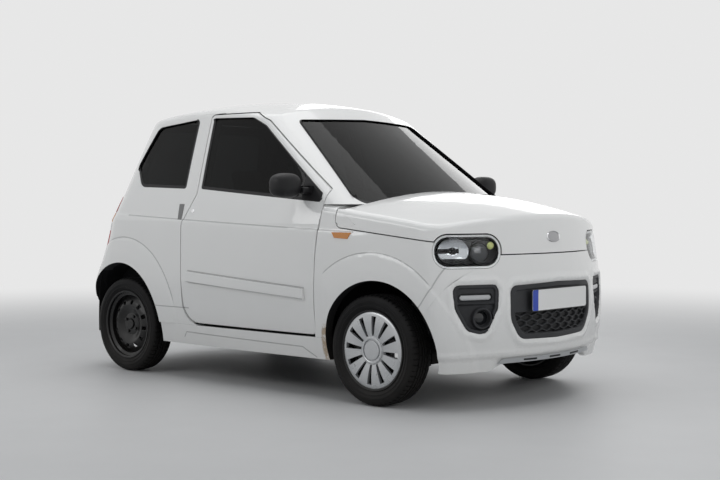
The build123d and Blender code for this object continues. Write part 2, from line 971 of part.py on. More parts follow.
with BuildPart() as rear_axle:
    add(cross_cylinder(rear_axle_x, axle_z, 28, (-stub_end_y, stub_end_y)))
    for side in (-1, 1):
        with Locations((rear_axle_x, side * 400, axle_z)):
            Box(70, 70, luggage_floor_z - seam - axle_z, align=(Align.CENTER, Align.CENTER, Align.MIN))
save("rear_axle", rear_axle.part)

# ---------------------------------------------------------------- exhaust, mirrors, plates
with BuildPart() as exhaust:
    with Locations((-1200, 0, luggage_floor_z - seam)):
        Box(150, 420, 100, align=(Align.CENTER, Align.CENTER, Align.MAX))
    fillet(exhaust.edges().filter_by(Axis.Y), 40)
save("exhaust", exhaust.part)

mirror_x = 412
mirror_y = 800
mirror_z = 1050
mirror_gap = 8
with BuildPart() as door_mirror:
    with Locations((mirror_x, mirror_y, mirror_z)):
        Box(110, 170, 120)
    fillet(door_mirror.edges(), 38)
mirror_arm = block(
    (mirror_x + 4, mirror_x + 68),
    (mirror_y - 160, mirror_y - 40),
    (mirror_z - 42, mirror_z - 2),
)
sail = cut_from(
    half_greenhouse(-seam),
    [side_prism(door_window, -seam), block((mirror_x, far), (0, far), (waist_z, far))],
    [half_greenhouse(glass_recess - seam)],
)
housing = cut_from(door_mirror.part, removed=[half_greenhouse(-mirror_gap)])
with BuildPart() as door_mirror_left:
    add(housing)
    add(cut_from(mirror_arm, removed=[half_greenhouse(glass_recess / 2)]))
    add(sail)
save("mirror_left", door_mirror_left.part)
save("mirror_right", right_of(door_mirror_left.part))

plate_length = 452
plate_height = 98
rear_plate_z = 440
with BuildPart() as plates:
    with Locations((nose_x - plate_thickness / 2, 0, front_plate_z)):
        Box(plate_thickness, plate_length, plate_height)
    with Locations((tail_x + plate_thickness / 2, 0, rear_plate_z)):
        Box(plate_thickness, plate_length, plate_height)
tail_clear = whole(half_form(tail_levels, -seam, front_x=0))
save("number_plates", cut_from(plates.part, removed=[tail_clear]))

wiper_x = 690
with BuildPart() as wiper:
    with Locations((wiper_x, -60, scuttle_z + seam)):
        Cylinder(10, 50, align=(Align.CENTER, Align.CENTER, Align.MIN))
    with Locations((wiper_x, -200, scuttle_z + 44)):
        Box(14, 300, 8)
save("wiper", wiper.part)
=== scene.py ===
"""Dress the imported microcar: finishes, panels, trims, wheels, lamps, cabin and stage."""

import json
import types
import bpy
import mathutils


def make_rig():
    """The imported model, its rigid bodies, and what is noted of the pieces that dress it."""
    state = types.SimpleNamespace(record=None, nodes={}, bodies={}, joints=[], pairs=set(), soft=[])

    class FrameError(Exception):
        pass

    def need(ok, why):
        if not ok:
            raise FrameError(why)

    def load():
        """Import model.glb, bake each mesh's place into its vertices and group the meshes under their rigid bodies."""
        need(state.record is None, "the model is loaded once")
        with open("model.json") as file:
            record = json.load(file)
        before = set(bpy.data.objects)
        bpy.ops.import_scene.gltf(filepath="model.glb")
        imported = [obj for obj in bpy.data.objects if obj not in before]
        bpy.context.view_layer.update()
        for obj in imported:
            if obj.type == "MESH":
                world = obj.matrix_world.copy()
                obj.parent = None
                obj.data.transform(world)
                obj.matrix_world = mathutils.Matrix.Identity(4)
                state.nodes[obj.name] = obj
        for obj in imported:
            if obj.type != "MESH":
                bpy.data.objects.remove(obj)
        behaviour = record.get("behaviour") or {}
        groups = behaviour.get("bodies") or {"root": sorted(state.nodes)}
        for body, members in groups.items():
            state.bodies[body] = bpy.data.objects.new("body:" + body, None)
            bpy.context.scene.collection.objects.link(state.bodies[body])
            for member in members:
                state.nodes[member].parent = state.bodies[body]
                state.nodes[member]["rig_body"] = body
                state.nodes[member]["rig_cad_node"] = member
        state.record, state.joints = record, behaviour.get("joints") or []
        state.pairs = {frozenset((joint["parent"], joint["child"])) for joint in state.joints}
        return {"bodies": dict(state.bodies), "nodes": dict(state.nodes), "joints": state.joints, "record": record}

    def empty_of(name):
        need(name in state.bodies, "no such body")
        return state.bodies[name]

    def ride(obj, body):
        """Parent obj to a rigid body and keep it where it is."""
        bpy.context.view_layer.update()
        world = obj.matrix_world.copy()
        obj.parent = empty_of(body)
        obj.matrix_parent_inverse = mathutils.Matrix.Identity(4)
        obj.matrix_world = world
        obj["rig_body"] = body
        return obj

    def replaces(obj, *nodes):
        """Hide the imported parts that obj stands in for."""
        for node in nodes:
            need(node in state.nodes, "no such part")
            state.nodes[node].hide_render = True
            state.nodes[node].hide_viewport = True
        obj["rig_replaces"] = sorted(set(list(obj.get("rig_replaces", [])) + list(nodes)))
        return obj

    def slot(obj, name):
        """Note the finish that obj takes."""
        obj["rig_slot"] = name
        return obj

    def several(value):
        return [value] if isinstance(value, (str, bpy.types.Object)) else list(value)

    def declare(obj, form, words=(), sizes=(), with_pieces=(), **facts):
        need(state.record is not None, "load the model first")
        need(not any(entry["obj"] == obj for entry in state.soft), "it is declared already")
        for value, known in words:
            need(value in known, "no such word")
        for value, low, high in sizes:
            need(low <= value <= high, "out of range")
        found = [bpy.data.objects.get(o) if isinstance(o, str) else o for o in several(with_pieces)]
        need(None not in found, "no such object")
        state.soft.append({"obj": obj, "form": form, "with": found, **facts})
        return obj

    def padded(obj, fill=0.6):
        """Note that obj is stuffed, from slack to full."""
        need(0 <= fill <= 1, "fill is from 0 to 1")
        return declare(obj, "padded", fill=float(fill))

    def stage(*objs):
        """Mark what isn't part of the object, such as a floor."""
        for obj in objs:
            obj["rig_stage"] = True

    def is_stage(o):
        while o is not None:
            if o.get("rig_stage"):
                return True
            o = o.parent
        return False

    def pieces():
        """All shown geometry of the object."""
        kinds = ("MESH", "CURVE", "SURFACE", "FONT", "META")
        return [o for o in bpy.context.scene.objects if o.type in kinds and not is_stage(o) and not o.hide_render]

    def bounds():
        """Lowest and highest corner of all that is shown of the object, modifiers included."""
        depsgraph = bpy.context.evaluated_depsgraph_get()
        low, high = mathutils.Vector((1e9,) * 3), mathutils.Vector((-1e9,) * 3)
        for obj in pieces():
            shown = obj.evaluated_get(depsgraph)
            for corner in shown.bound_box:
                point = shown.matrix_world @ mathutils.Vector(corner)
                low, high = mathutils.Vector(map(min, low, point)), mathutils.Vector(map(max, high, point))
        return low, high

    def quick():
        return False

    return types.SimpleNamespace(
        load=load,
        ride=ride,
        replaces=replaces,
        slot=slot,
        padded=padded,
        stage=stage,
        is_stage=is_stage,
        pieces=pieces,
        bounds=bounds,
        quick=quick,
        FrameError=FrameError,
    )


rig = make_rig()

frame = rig.load()

import json
import logging
import math
from dataclasses import dataclass, field
from enum import Enum
from typing import Callable, Iterable, Optional, Sequence

import bmesh
import bpy
import numpy as np
from mathutils import Matrix, Vector
from mathutils.bvhtree import BVHTree

log = logging.getLogger("microcar")
BODY = "body"
SIDES = (("left", 1.0), ("right", -1.0))
MERGE = 2e-5
AXLE = Vector((0.0, 1.0, 0.0))
SKIN_GAP = 0.001
Mesh = bmesh.types.BMesh
Face = bmesh.types.BMFace
Point = tuple[float, float, float]
Colour = tuple[float, float, float]


# ------------------------------------------------------------------ shader maths
class Flow:
    """A number between shader nodes that works in Python expressions."""

    def __init__(self, graph: "Graph", socket: bpy.types.NodeSocket) -> None:
        """Wrap an output socket of a graph."""
        self.graph = graph
        self.socket = socket

    def _join(self, operation: str, first: "Flow | float", second: "Flow | float") -> "Flow":
        """Add a Math node on two values."""
        return self.graph.node("ShaderNodeMath", {"operation": operation}, {0: first, 1: second})

    def __add__(self, other: "Flow | float") -> "Flow":
        """Return the sum."""
        return self._join("ADD", self, other)

    def __radd__(self, other: float) -> "Flow":
        """Return the sum with a number on the left."""
        return self._join("ADD", other, self)

    def __sub__(self, other: "Flow | float") -> "Flow":
        """Return the difference."""
        return self._join("SUBTRACT", self, other)

    def __rsub__(self, other: float) -> "Flow":
        """Return a number less this value."""
        return self._join("SUBTRACT", other, self)

    def __mul__(self, other: "Flow | float") -> "Flow":
        """Return the product."""
        return self._join("MULTIPLY", self, other)

    def __rmul__(self, other: float) -> "Flow":
        """Return the product with a number on the left."""
        return self._join("MULTIPLY", other, self)

    def __truediv__(self, other: "Flow | float") -> "Flow":
        """Return the quotient."""
        return self._join("DIVIDE", self, other)

    def __pow__(self, other: float) -> "Flow":
        """Return the power."""
        return self._join("POWER", self, other)

    def ramp(self, low: float, high: float, to_low: float = 0.0, to_high: float = 1.0) -> "Flow":
        """Map low..high smoothly onto another range.

        Args:
            low: value that gives to_low.
            high: value that gives to_high.
            to_low: result at low.
            to_high: result at high.

        Returns:
            The mapped and limited value.
        """
        settings = {"interpolation_type": "SMOOTHSTEP"}
        values = {0: self, 1: low, 2: high, 3: to_low, 4: to_high}
        return self.graph.node("ShaderNodeMapRange", settings, values)


class Graph:
    """One material's nodes."""

    def __init__(self, name: str) -> None:
        """Start a material that holds only its output."""
        self.material = bpy.data.materials.new(name)
        self.material.use_nodes = True
        self.tree = self.material.node_tree
        self.tree.nodes.clear()
        self.output = self.tree.nodes.new("ShaderNodeOutputMaterial")

    def node(
        self, kind: str, settings: Optional[dict] = None, values: Optional[dict] = None, out: int | str = 0
    ) -> Flow:
        """Add a node with its settings, then its sockets' values or links.

        Args:
            kind: the node's type.
            settings: the attributes that are set first.
            values: socket name or number to a value or a Flow.
            out: which output to return.

        Returns:
            The chosen output.
        """
        made = self.tree.nodes.new(kind)
        for key, value in (settings or {}).items():
            setattr(made, key, value)
        for key, value in (values or {}).items():
            if isinstance(value, Flow):
                self.tree.links.new(value.socket, made.inputs[key])
            else:
                made.inputs[key].default_value = value
        return Flow(self, made.outputs[out])

    def place(self) -> Flow:
        """Return the Object coordinates."""
        return self.node("ShaderNodeTexCoord", out="Object")

    def part_of_place(self, axis: str) -> Flow:
        """Return one axis of the Object coordinates."""
        return self.node("ShaderNodeSeparateXYZ", values={0: self.place()}, out=axis)

    def noise(self, scale: float, detail: float = 3.0, roughness: float = 0.55) -> Flow:
        """Return a noise from 0 to 1 whose lumps are about 1 / scale metres wide."""
        values = {"Vector": self.place(), "Scale": scale, "Detail": detail, "Roughness": roughness}
        return self.node("ShaderNodeTexNoise", {"noise_dimensions": "3D"}, values, "Fac")

    def blend(self, factor: Flow | float, first: Colour | Flow, second: Colour | Flow) -> Flow:
        """Mix two colours by a factor."""
        colours = [c if isinstance(c, Flow) else (*c, 1.0) for c in (first, second)]
        values = {0: factor, 6: colours[0], 7: colours[1]}
        return self.node("ShaderNodeMix", {"data_type": "RGBA"}, values, 2)

    def bump(self, height: Flow, strength: float, distance: float) -> Flow:
        """Return a normal bent by a height."""
        values = {"Strength": strength, "Distance": distance, "Height": height}
        return self.node("ShaderNodeBump", None, values, "Normal")

    def finish(self, shader: Flow) -> bpy.types.Material:
        """Join a shader to the output and return the material."""
        self.tree.links.new(shader.socket, self.output.inputs["Surface"])
        return self.material


# ------------------------------------------------------------------ finishes
@dataclass(frozen=True)
class Finish:
    """A plain moulded or painted finish with fine grain and slight variation."""

    name: str
    colour: Colour
    roughness: float = 0.45
    metallic: float = 0.0
    coat: float = 0.0
    grain: float = 900.0
    depth: float = 0.0001
    strength: float = 0.25
    shade: float = 0.12
    dust: float = 0.0
    shine: float = 0.5

    def material(self) -> bpy.types.Material:
        """Build the finish's material."""
        graph = Graph(self.name)
        patches = graph.noise(9.0)
        darker = tuple(c * (1.0 - self.shade) for c in self.colour)
        colour = graph.blend(patches, darker, self.colour)
        if self.dust:
            low = graph.part_of_place("Z").ramp(0.05, 0.55, 1.0, 0.0)
            film = low * graph.noise(14.0, 5.0) * self.dust
            colour = graph.blend(film, colour, (0.33, 0.28, 0.22))
        rough = patches.ramp(0.3, 0.7, self.roughness * 0.9, min(1.0, self.roughness * 1.12))
        normal = graph.bump(graph.noise(self.grain, 2.0), self.strength, self.depth)
        values = {
            "Base Color": colour,
            "Roughness": rough,
            "Metallic": self.metallic,
            "Coat Weight": self.coat,
            "Coat Roughness": 0.04,
            "Specular IOR Level": self.shine,
            "Normal": normal,
        }
        return graph.finish(graph.node("ShaderNodeBsdfPrincipled", None, values))


@dataclass(frozen=True)
class CarPaint(Finish):
    """White body paint under a clear coat, with its pressed lines, road film and dirt; each pressed line is bumped and
    also darkened in colour as painted shade.

    Attributes:
        arcs: the lines over the wheels: centre along, centre up, radius, first and last place along.
        lines: straight pressed lines, from one place along and up to another.
        line_width: half the width of a line.
        dirt_arch: centre along, centre up, inner and outer radius of the dirt behind the front wheel.
    """

    arcs: tuple[tuple[float, float, float, float, float], ...] = (
        (0.895, 0.265, 0.465, 0.585, 1.24),
        (-0.985, 0.300, 0.465, -1.60, -0.52),
    )
    lines: tuple[tuple[float, float, float, float], ...] = (
        (-0.960, 0.8908, 0.780, 0.8250),
        (-0.690, 0.3950, -0.415, 0.3950),
        (0.575, 0.3500, 0.640, 0.3500),
        (-0.475, 0.2320, -0.450, 0.2620),
        (-0.450, 0.2620, 0.430, 0.2490),
        (1.287, 0.6700, 1.235, 0.5710),
        (1.235, 0.5710, 1.187, 0.5030),
        (1.187, 0.5030, 1.140, 0.4470),
        (-0.403, 0.5385, 0.472, 0.4905),
        (-0.403, 0.5985, 0.472, 0.5455),
        (0.430, 0.2490, 0.517, 0.2020),
    )
    line_width: float = 0.0042
    dirt_arch: tuple[float, float, float, float] = (0.921, 0.270, 0.328, 0.364)

    def crease_bump_and_shade(self, along: Flow, up: Flow) -> Flow:
        """Return 1 on every pressed line and 0 away from them; the mask bends the normal and also darkens the colour
        as painted shade.
        """
        width = self.line_width**2
        total: Optional[Flow] = None
        for x, z, radius, first, last in self.arcs:
            away = ((along - x) ** 2.0 + (up - z) ** 2.0) ** 0.5
            near = ((away - radius) ** 2.0).ramp(0.0, width, 1.0, 0.0)
            near = near * along.ramp(first, first + 0.03) * along.ramp(last - 0.03, last, 1.0, 0.0)
            near = near * up.ramp(0.34, 0.46)
            total = near if total is None else total + near
        for x0, z0, x1, z1 in self.lines:
            run, rise = x1 - x0, z1 - z0
            length = math.hypot(run, rise)
            ahead = ((along - x0) * run + (up - z0) * rise) * (1.0 / length)
            off = ((along - x0) * rise - (up - z0) * run) * (1.0 / length)
            near = (off**2.0).ramp(0.0, width, 1.0, 0.0)
            near = near * ahead.ramp(-0.002, 0.002) * ahead.ramp(length - 0.002, length + 0.002, 1.0, 0.0)
            total = total + near
        return total.ramp(0.0, 1.0)

    def material(self) -> bpy.types.Material:
        """Build the paint."""
        graph = Graph(self.name)
        along, up = graph.part_of_place("X"), graph.part_of_place("Z")
        film = up.ramp(0.16, 0.45, 1.0, 0.0) * graph.noise(11.0, 5.0) * 0.16
        colour = graph.blend(graph.noise(3.0), tuple(c * 0.985 for c in self.colour), self.colour)
        crease = self.crease_bump_and_shade(along, up)
        # Painted shade: the colour is darkened towards grey along every pressed line, as the shadow in the crease.
        colour = graph.blend(crease * 0.55, colour, (0.26, 0.26, 0.265))
        colour = graph.blend(film, colour, (0.40, 0.36, 0.30))
        x, z, inner, outer = self.dirt_arch
        away = ((along - x) ** 2.0 + (up - z) ** 2.0) ** 0.5
        behind = along.ramp(0.66, 0.70, 1.0, 0.0) * up.ramp(0.35, 0.385, 1.0, 0.0)
        mud = away.ramp(inner + 0.6 * (outer - inner), outer, 1.0, 0.0) * behind
        mud = mud * graph.noise(34.0, 6.0, 0.7).ramp(0.30, 0.55)
        colour = graph.blend(mud * 0.85, colour, (0.36, 0.25, 0.14))
        height = graph.noise(160.0, 1.0) * 0.004 - crease
        values = {
            "Base Color": colour,
            "Roughness": (film + mud) * 0.4 + self.roughness,
            "Coat Weight": 1.0 - mud * 0.8,
            "Coat Roughness": 0.025,
            "Normal": graph.bump(height, 0.7, 0.003),
        }
        return graph.finish(graph.node("ShaderNodeBsdfPrincipled", None, values))


@dataclass(frozen=True)
class ClearFinish(Finish):
    """Glass or a clear lens, tinted by its colour."""

    ior: float = 1.45

    def material(self) -> bpy.types.Material:
        """Build the glass."""
        graph = Graph(self.name)
        smears = graph.noise(6.0, 4.0).ramp(0.45, 0.8, self.roughness, self.roughness + 0.03)
        values = {
            "Base Color": (*self.colour, 1.0),
            "Roughness": smears,
            "Transmission Weight": 1.0,
            "IOR": self.ior,
            "Coat Weight": self.coat,
            "Coat Roughness": 0.01,
        }
        return graph.finish(graph.node("ShaderNodeBsdfPrincipled", None, values))


@dataclass(frozen=True)
class Cloth(Finish):
    """Woven seat cloth with crossed threads."""

    threads: float = 520.0

    def material(self) -> bpy.types.Material:
        """Build the weave from two crossed waves."""
        graph = Graph(self.name)
        axes = [graph.part_of_place(axis) for axis in "XYZ"]
        waves = [
            graph.node("ShaderNodeMath", {"operation": "SINE"}, {0: (axes[1] + shift) * self.threads})
            for shift in (axes[0] + axes[2], (axes[0] + axes[2]) * -1.0)
        ]
        weave = waves[0] * waves[1]
        patches = graph.noise(40.0, 4.0)
        colour = graph.blend(patches, self.colour, tuple(c * 1.5 for c in self.colour))
        colour = graph.blend(weave.ramp(-1.0, 1.0) * 0.4, colour, tuple(c * 0.5 for c in self.colour))
        values = {
            "Base Color": colour,
            "Roughness": 0.92,
            "Sheen Weight": 0.25,
            "Normal": graph.bump(weave, 0.4, 0.0006),
        }
        return graph.finish(graph.node("ShaderNodeBsdfPrincipled", None, values))


class Look(Enum):
    """Every finish on the car."""

    PAINT = CarPaint("white_body_paint", (0.80, 0.80, 0.79), roughness=0.32)
    GLASS = ClearFinish("dark_tinted_glass", (0.045, 0.05, 0.05), roughness=0.0, ior=1.22)
    TRIM = Finish("black_trim", (0.012, 0.012, 0.013), roughness=0.42, grain=1400.0, shine=0.25)
    GRAIN = Finish(
        "grey_grained_plastic", (0.040, 0.041, 0.044), roughness=0.55, grain=800.0, depth=0.0003, shine=0.3
    )
    LINING = Finish(
        "cabin_lining", (0.035, 0.035, 0.037), roughness=0.8, grain=500.0, depth=0.0005, shine=0.15
    )
    SEAL = Finish("opening_rubber", (0.008, 0.008, 0.008), roughness=0.7, grain=600.0, shine=0.15)
    RUBBER = Finish(
        "tyre_rubber",
        (0.0065, 0.0065, 0.007),
        roughness=0.58,
        grain=300.0,
        depth=0.0004,
        dust=0.035,
        shine=0.15,
    )
    STEEL = Finish(
        "black_wheel_steel",
        (0.005, 0.005, 0.0055),
        roughness=0.34,
        coat=0.15,
        dust=0.025,
        grain=250.0,
        shine=0.3,
    )
    SILVER = Finish("silver_cover", (0.52, 0.53, 0.54), roughness=0.30, metallic=0.55, coat=0.35, shade=0.06)
    CHROME = Finish(
        "bright_chrome", (0.86, 0.87, 0.88), roughness=0.07, metallic=1.0, shade=0.03, strength=0.05
    )
    CAST = Finish("cast_metal", (0.16, 0.16, 0.165), roughness=0.6, metallic=0.7, grain=220.0, depth=0.0006)
    UNDER = Finish(
        "underbody_paint",
        (0.012, 0.012, 0.013),
        roughness=0.75,
        grain=260.0,
        depth=0.0008,
        dust=0.12,
        shine=0.1,
    )
    LENS = ClearFinish("clear_lens", (0.93, 0.95, 0.96), roughness=0.0, ior=1.18)
    REFLECTOR = Finish("lamp_reflector", (0.66, 0.67, 0.69), roughness=0.14, metallic=1.0, strength=0.05)
    RED = Finish("red_lamp", (0.42, 0.012, 0.014), roughness=0.14, coat=1.0, grain=500.0)
    PALE_LAMP = Finish("pale_lamp", (0.60, 0.61, 0.62), roughness=0.16, coat=1.0, grain=500.0)
    AMBER = Finish("amber_lamp", (0.62, 0.22, 0.02), roughness=0.18, coat=1.0, grain=500.0)
    PLATE = Finish("plate_sheet", (0.80, 0.80, 0.79), roughness=0.42, grain=1800.0, shade=0.02)
    BLUE = Finish("plate_blue", (0.02, 0.06, 0.42), roughness=0.42, grain=1800.0, shade=0.04)
    CLOTH = Cloth("seat_cloth", (0.030, 0.031, 0.034))
    MIRROR = Finish(
        "mirror_silver", (0.90, 0.91, 0.92), roughness=0.015, metallic=1.0, shade=0.01, strength=0.0
    )
    DARK_LENS = Finish("dark_lens", (0.012, 0.013, 0.015), roughness=0.08, coat=0.3, shade=0.05, strength=0.0)
    GLOSS_BLACK = Finish("gloss_black", (0.004, 0.004, 0.0045), roughness=0.35, strength=0.02, shine=0.2)
    SMOKE = Finish("smoked_silver", (0.42, 0.42, 0.43), roughness=0.3, metallic=0.6, coat=0.2, strength=0.05)
    INDICATOR = Finish("indicator_bulb", (0.62, 0.66, 0.22), roughness=0.2, coat=1.0, strength=0.0)
    # Painted shade: the grey that the white handle recess shows in its shadow.
    POCKET_SHADE = Finish("pocket_grey", (0.20, 0.20, 0.20), roughness=0.5, strength=0.1)
    SKID = Finish("silver_skid", (0.46, 0.47, 0.48), roughness=0.34, metallic=0.4, coat=0.2, shade=0.05)


class Shelf:
    """Keeps one material for each look."""

    def __init__(self) -> None:
        """Start with nothing made."""
        self._made: dict[Look, bpy.types.Material] = {}

    def get(self, look: Look) -> bpy.types.Material:
        """Return a look's material, made when first asked for."""
        if look not in self._made:
            self._made[look] = look.value.material()
        return self._made[look]


SHELF = Shelf()


# ------------------------------------------------------------------ mesh tools
def smooth_rise(value: float, low: float, high: float) -> float:
    """Return 0 at low and 1 at high with a smooth rise between, or the reverse fall."""
    ratio = min(1.0, max(0.0, (value - low) / (high - low)))
    return ratio * ratio * (3.0 - 2.0 * ratio)


def line_height(points: Sequence[tuple[float, float]], place: float) -> float:
    """Return the height at a place on a line of points sorted along."""
    if place <= points[0][0]:
        return points[0][1]
    for (x0, z0), (x1, z1) in zip(points, points[1:]):
        if place <= x1:
            return z0 + (z1 - z0) * (place - x0) / (x1 - x0)
    return points[-1][1]


def copy_node(name: str) -> Mesh:
    """Return a merged copy of a CAD node's mesh."""
    mesh = bmesh.new()
    mesh.from_mesh(frame["nodes"][name].data)
    bmesh.ops.remove_doubles(mesh, verts=mesh.verts, dist=MERGE)
    return mesh


def cut_away(mesh: Mesh, place: Point, normal: Point) -> None:
    """Cut a mesh by a plane and drop what lies on the normal's side."""
    bmesh.ops.bisect_plane(
        mesh,
        geom=[*mesh.verts, *mesh.edges, *mesh.faces],
        dist=1e-6,
        plane_co=place,
        plane_no=normal,
        clear_outer=True,
    )


def keep_faces(mesh: Mesh, wanted: Callable[[Face], bool]) -> None:
    """Delete each face that isn't wanted, with loose edges and vertices."""
    doomed = [face for face in mesh.faces if not wanted(face)]
    bmesh.ops.delete(mesh, geom=doomed, context="FACES")


def thicken(mesh: Mesh, thickness: float) -> None:
    """Give an open sheet a wall, towards its back for a positive thickness."""
    bmesh.ops.solidify(mesh, geom=list(mesh.faces), thickness=thickness)


def outward(mesh: Mesh) -> None:
    """Point every face outwards."""
    bmesh.ops.recalc_face_normals(mesh, faces=mesh.faces)


def cube(centre: Point, size: Point, turn: Optional[Matrix] = None) -> Mesh:
    """Return a box with a centre, a size and a turn."""
    mesh = bmesh.new()
    turned = (turn or Matrix.Identity(3)).to_4x4()
    place = Matrix.Translation(centre) @ turned @ Matrix.Diagonal((*size, 1.0))
    bmesh.ops.create_cube(mesh, size=1.0, matrix=place)
    return mesh


def disc(
    centre: Point, radius: float, depth: float, axis: Vector, segments: int = 48, top: float = 1.0
) -> Mesh:
    """Return a closed cylinder or cone whose axis passes through its centre."""
    mesh = bmesh.new()
    turn = axis.to_track_quat("Z", "Y").to_matrix().to_4x4()
    bmesh.ops.create_cone(
        mesh,
        cap_ends=True,
        cap_tris=False,
        segments=segments,
        radius1=radius,
        radius2=radius * top,
        depth=depth,
        matrix=Matrix.Translation(centre) @ turn,
    )
    return mesh


def turned(profile: Sequence[tuple[float, float]], steps: int, closed: bool) -> Mesh:
    """Spin a section of (radius, across) points about the Y axis.

    Args:
        profile: the section's points, from one end to the other.
        steps: how many steps go round.
        closed: whether the last point joins the first.

    Returns:
        The turned surface with its faces outwards.
    """
    mesh = bmesh.new()
    verts = [mesh.verts.new((radius, across, 0.0)) for radius, across in profile]
    pairs = list(zip(verts, verts[1:]))
    if closed:
        pairs.append((verts[-1], verts[0]))
    edges = [mesh.edges.new(pair) for pair in pairs]
    bmesh.ops.spin(
        mesh,
        geom=[*verts, *edges],
        cent=(0.0, 0.0, 0.0),
        axis=(0.0, 1.0, 0.0),
        angle=math.tau,
        steps=steps,
        use_merge=True,
        use_duplicate=False,
    )
    bmesh.ops.remove_doubles(mesh, verts=mesh.verts, dist=MERGE)
    outward(mesh)
    return mesh


def moved(mesh: Mesh, place: Point, turn: Optional[Matrix] = None) -> Mesh:
    """Turn a mesh about the origin, then shift it, and return it."""
    if turn is not None:
        bmesh.ops.transform(mesh, matrix=turn.to_4x4(), verts=mesh.verts)
    bmesh.ops.translate(mesh, vec=place, verts=mesh.verts)
    return mesh


def joined(meshes: Iterable[Mesh]) -> Mesh:
    """Put several meshes into one and free them."""
    whole = bmesh.new()
    for part in meshes:
        holder = bpy.data.meshes.new("part")
        part.to_mesh(holder)
        part.free()
        whole.from_mesh(holder)
        bpy.data.meshes.remove(holder)
    return whole


def on_side(mesh: Mesh, sign: float) -> Mesh:
    """Return a mesh made for the left as it is, or turned into its mirror image for the right."""
    if sign < 0.0:
        bmesh.ops.transform(mesh, matrix=Matrix.Diagonal((1.0, -1.0, 1.0, 1.0)), verts=mesh.verts)
        bmesh.ops.reverse_faces(mesh, faces=mesh.faces)
    return mesh


def bevelled(
    mesh: Mesh,
    edges: list[bmesh.types.BMEdge],
    radius: float,
    segments: int,
    clamp: bool = False,
) -> Mesh:
    """Round some edges and return the mesh."""
    bmesh.ops.bevel(
        mesh,
        geom=edges,
        offset=radius,
        offset_type="OFFSET",
        segments=segments,
        profile=0.5,
        affect="EDGES",
        clamp_overlap=clamp,
        material=-1,
    )
    return mesh


def rounded(
    mesh: Mesh, radius: float, segments: int = 3, sharper_than: float = 30.0
) -> Mesh:
    """Round every edge that is sharper than an angle and return the mesh."""
    limit = math.radians(sharper_than)
    edges = [e for e in mesh.edges if e.is_manifold and e.calc_face_angle(0.0) > limit]
    return bevelled(mesh, edges, radius, segments, True)


def round_corners(mesh: Mesh, radius: float, segments: int) -> Mesh:
    """Round the edges of a thin upright box that run along X."""
    edges = [e for e in mesh.edges if abs((e.verts[0].co - e.verts[1].co).x) > 0.001]
    return bevelled(mesh, edges, radius, segments)


def inset(mesh: Mesh, faces: list[Face], thickness: float, depth: float) -> None:
    """Draw a region of faces in by a thickness and move it by a depth, which sinks it below zero."""
    bmesh.ops.inset_region(
        mesh, faces=faces, use_boundary=True, use_even_offset=True, thickness=thickness, depth=depth
    )


def polar(face: Face, steps: int) -> tuple[float, int]:
    """Return a face's distance from the Y axis, and its step out of a number of steps round it."""
    centre = face.calc_center_median()
    return math.hypot(centre.x, centre.z), int((math.atan2(centre.z, centre.x) / math.tau + 1.0) * steps)


def make_piece(
    name: str,
    mesh: Mesh,
    looks: Look | Sequence[Look],
    body: str = BODY,
    slot: str = "black_plastic",
    nodes: Sequence[str] = (),
    crease: float = 32.0,
    weighted: bool = True,
) -> bpy.types.Object:
    """Make a finished piece from a mesh and hang it on a body.

    Args:
        name: the piece's name.
        mesh: its shape in the car's frame; it is freed.
        looks: its finish, or several for its faces' material numbers.
        body: the body that it rides on.
        slot: the record's material slot.
        nodes: the CAD nodes that it stands for.
        crease: edges sharper than this many degrees stay sharp.
        weighted: whether larger faces lead the shading.

    Returns:
        The new object.
    """
    limit = math.radians(crease)
    for face in mesh.faces:
        face.smooth = True
    for edge in mesh.edges:
        edge.smooth = edge.is_manifold and edge.calc_face_angle(0.0) < limit
    data = bpy.data.meshes.new(name)
    mesh.to_mesh(data)
    mesh.free()
    for look in (looks,) if isinstance(looks, Look) else looks:
        data.materials.append(SHELF.get(look))
    piece = bpy.data.objects.new(name, data)
    bpy.context.collection.objects.link(piece)
    if weighted:
        shading = piece.modifiers.new("shading", "WEIGHTED_NORMAL")
        shading.keep_sharp = True
    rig.ride(piece, body)
    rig.slot(piece, slot)
    if nodes:
        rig.replaces(piece, *nodes)
    log.info("%s: %d faces on %s", name, len(data.polygons), body)
    return piece


def dress_node(node: str, look: Look) -> None:
    """Give a CAD node that stays in view its finish."""
    data = frame["nodes"][node].data
    data.materials.clear()
    data.materials.append(SHELF.get(look))
    log.info("%s: CAD mesh in %s", node, look.name.lower())


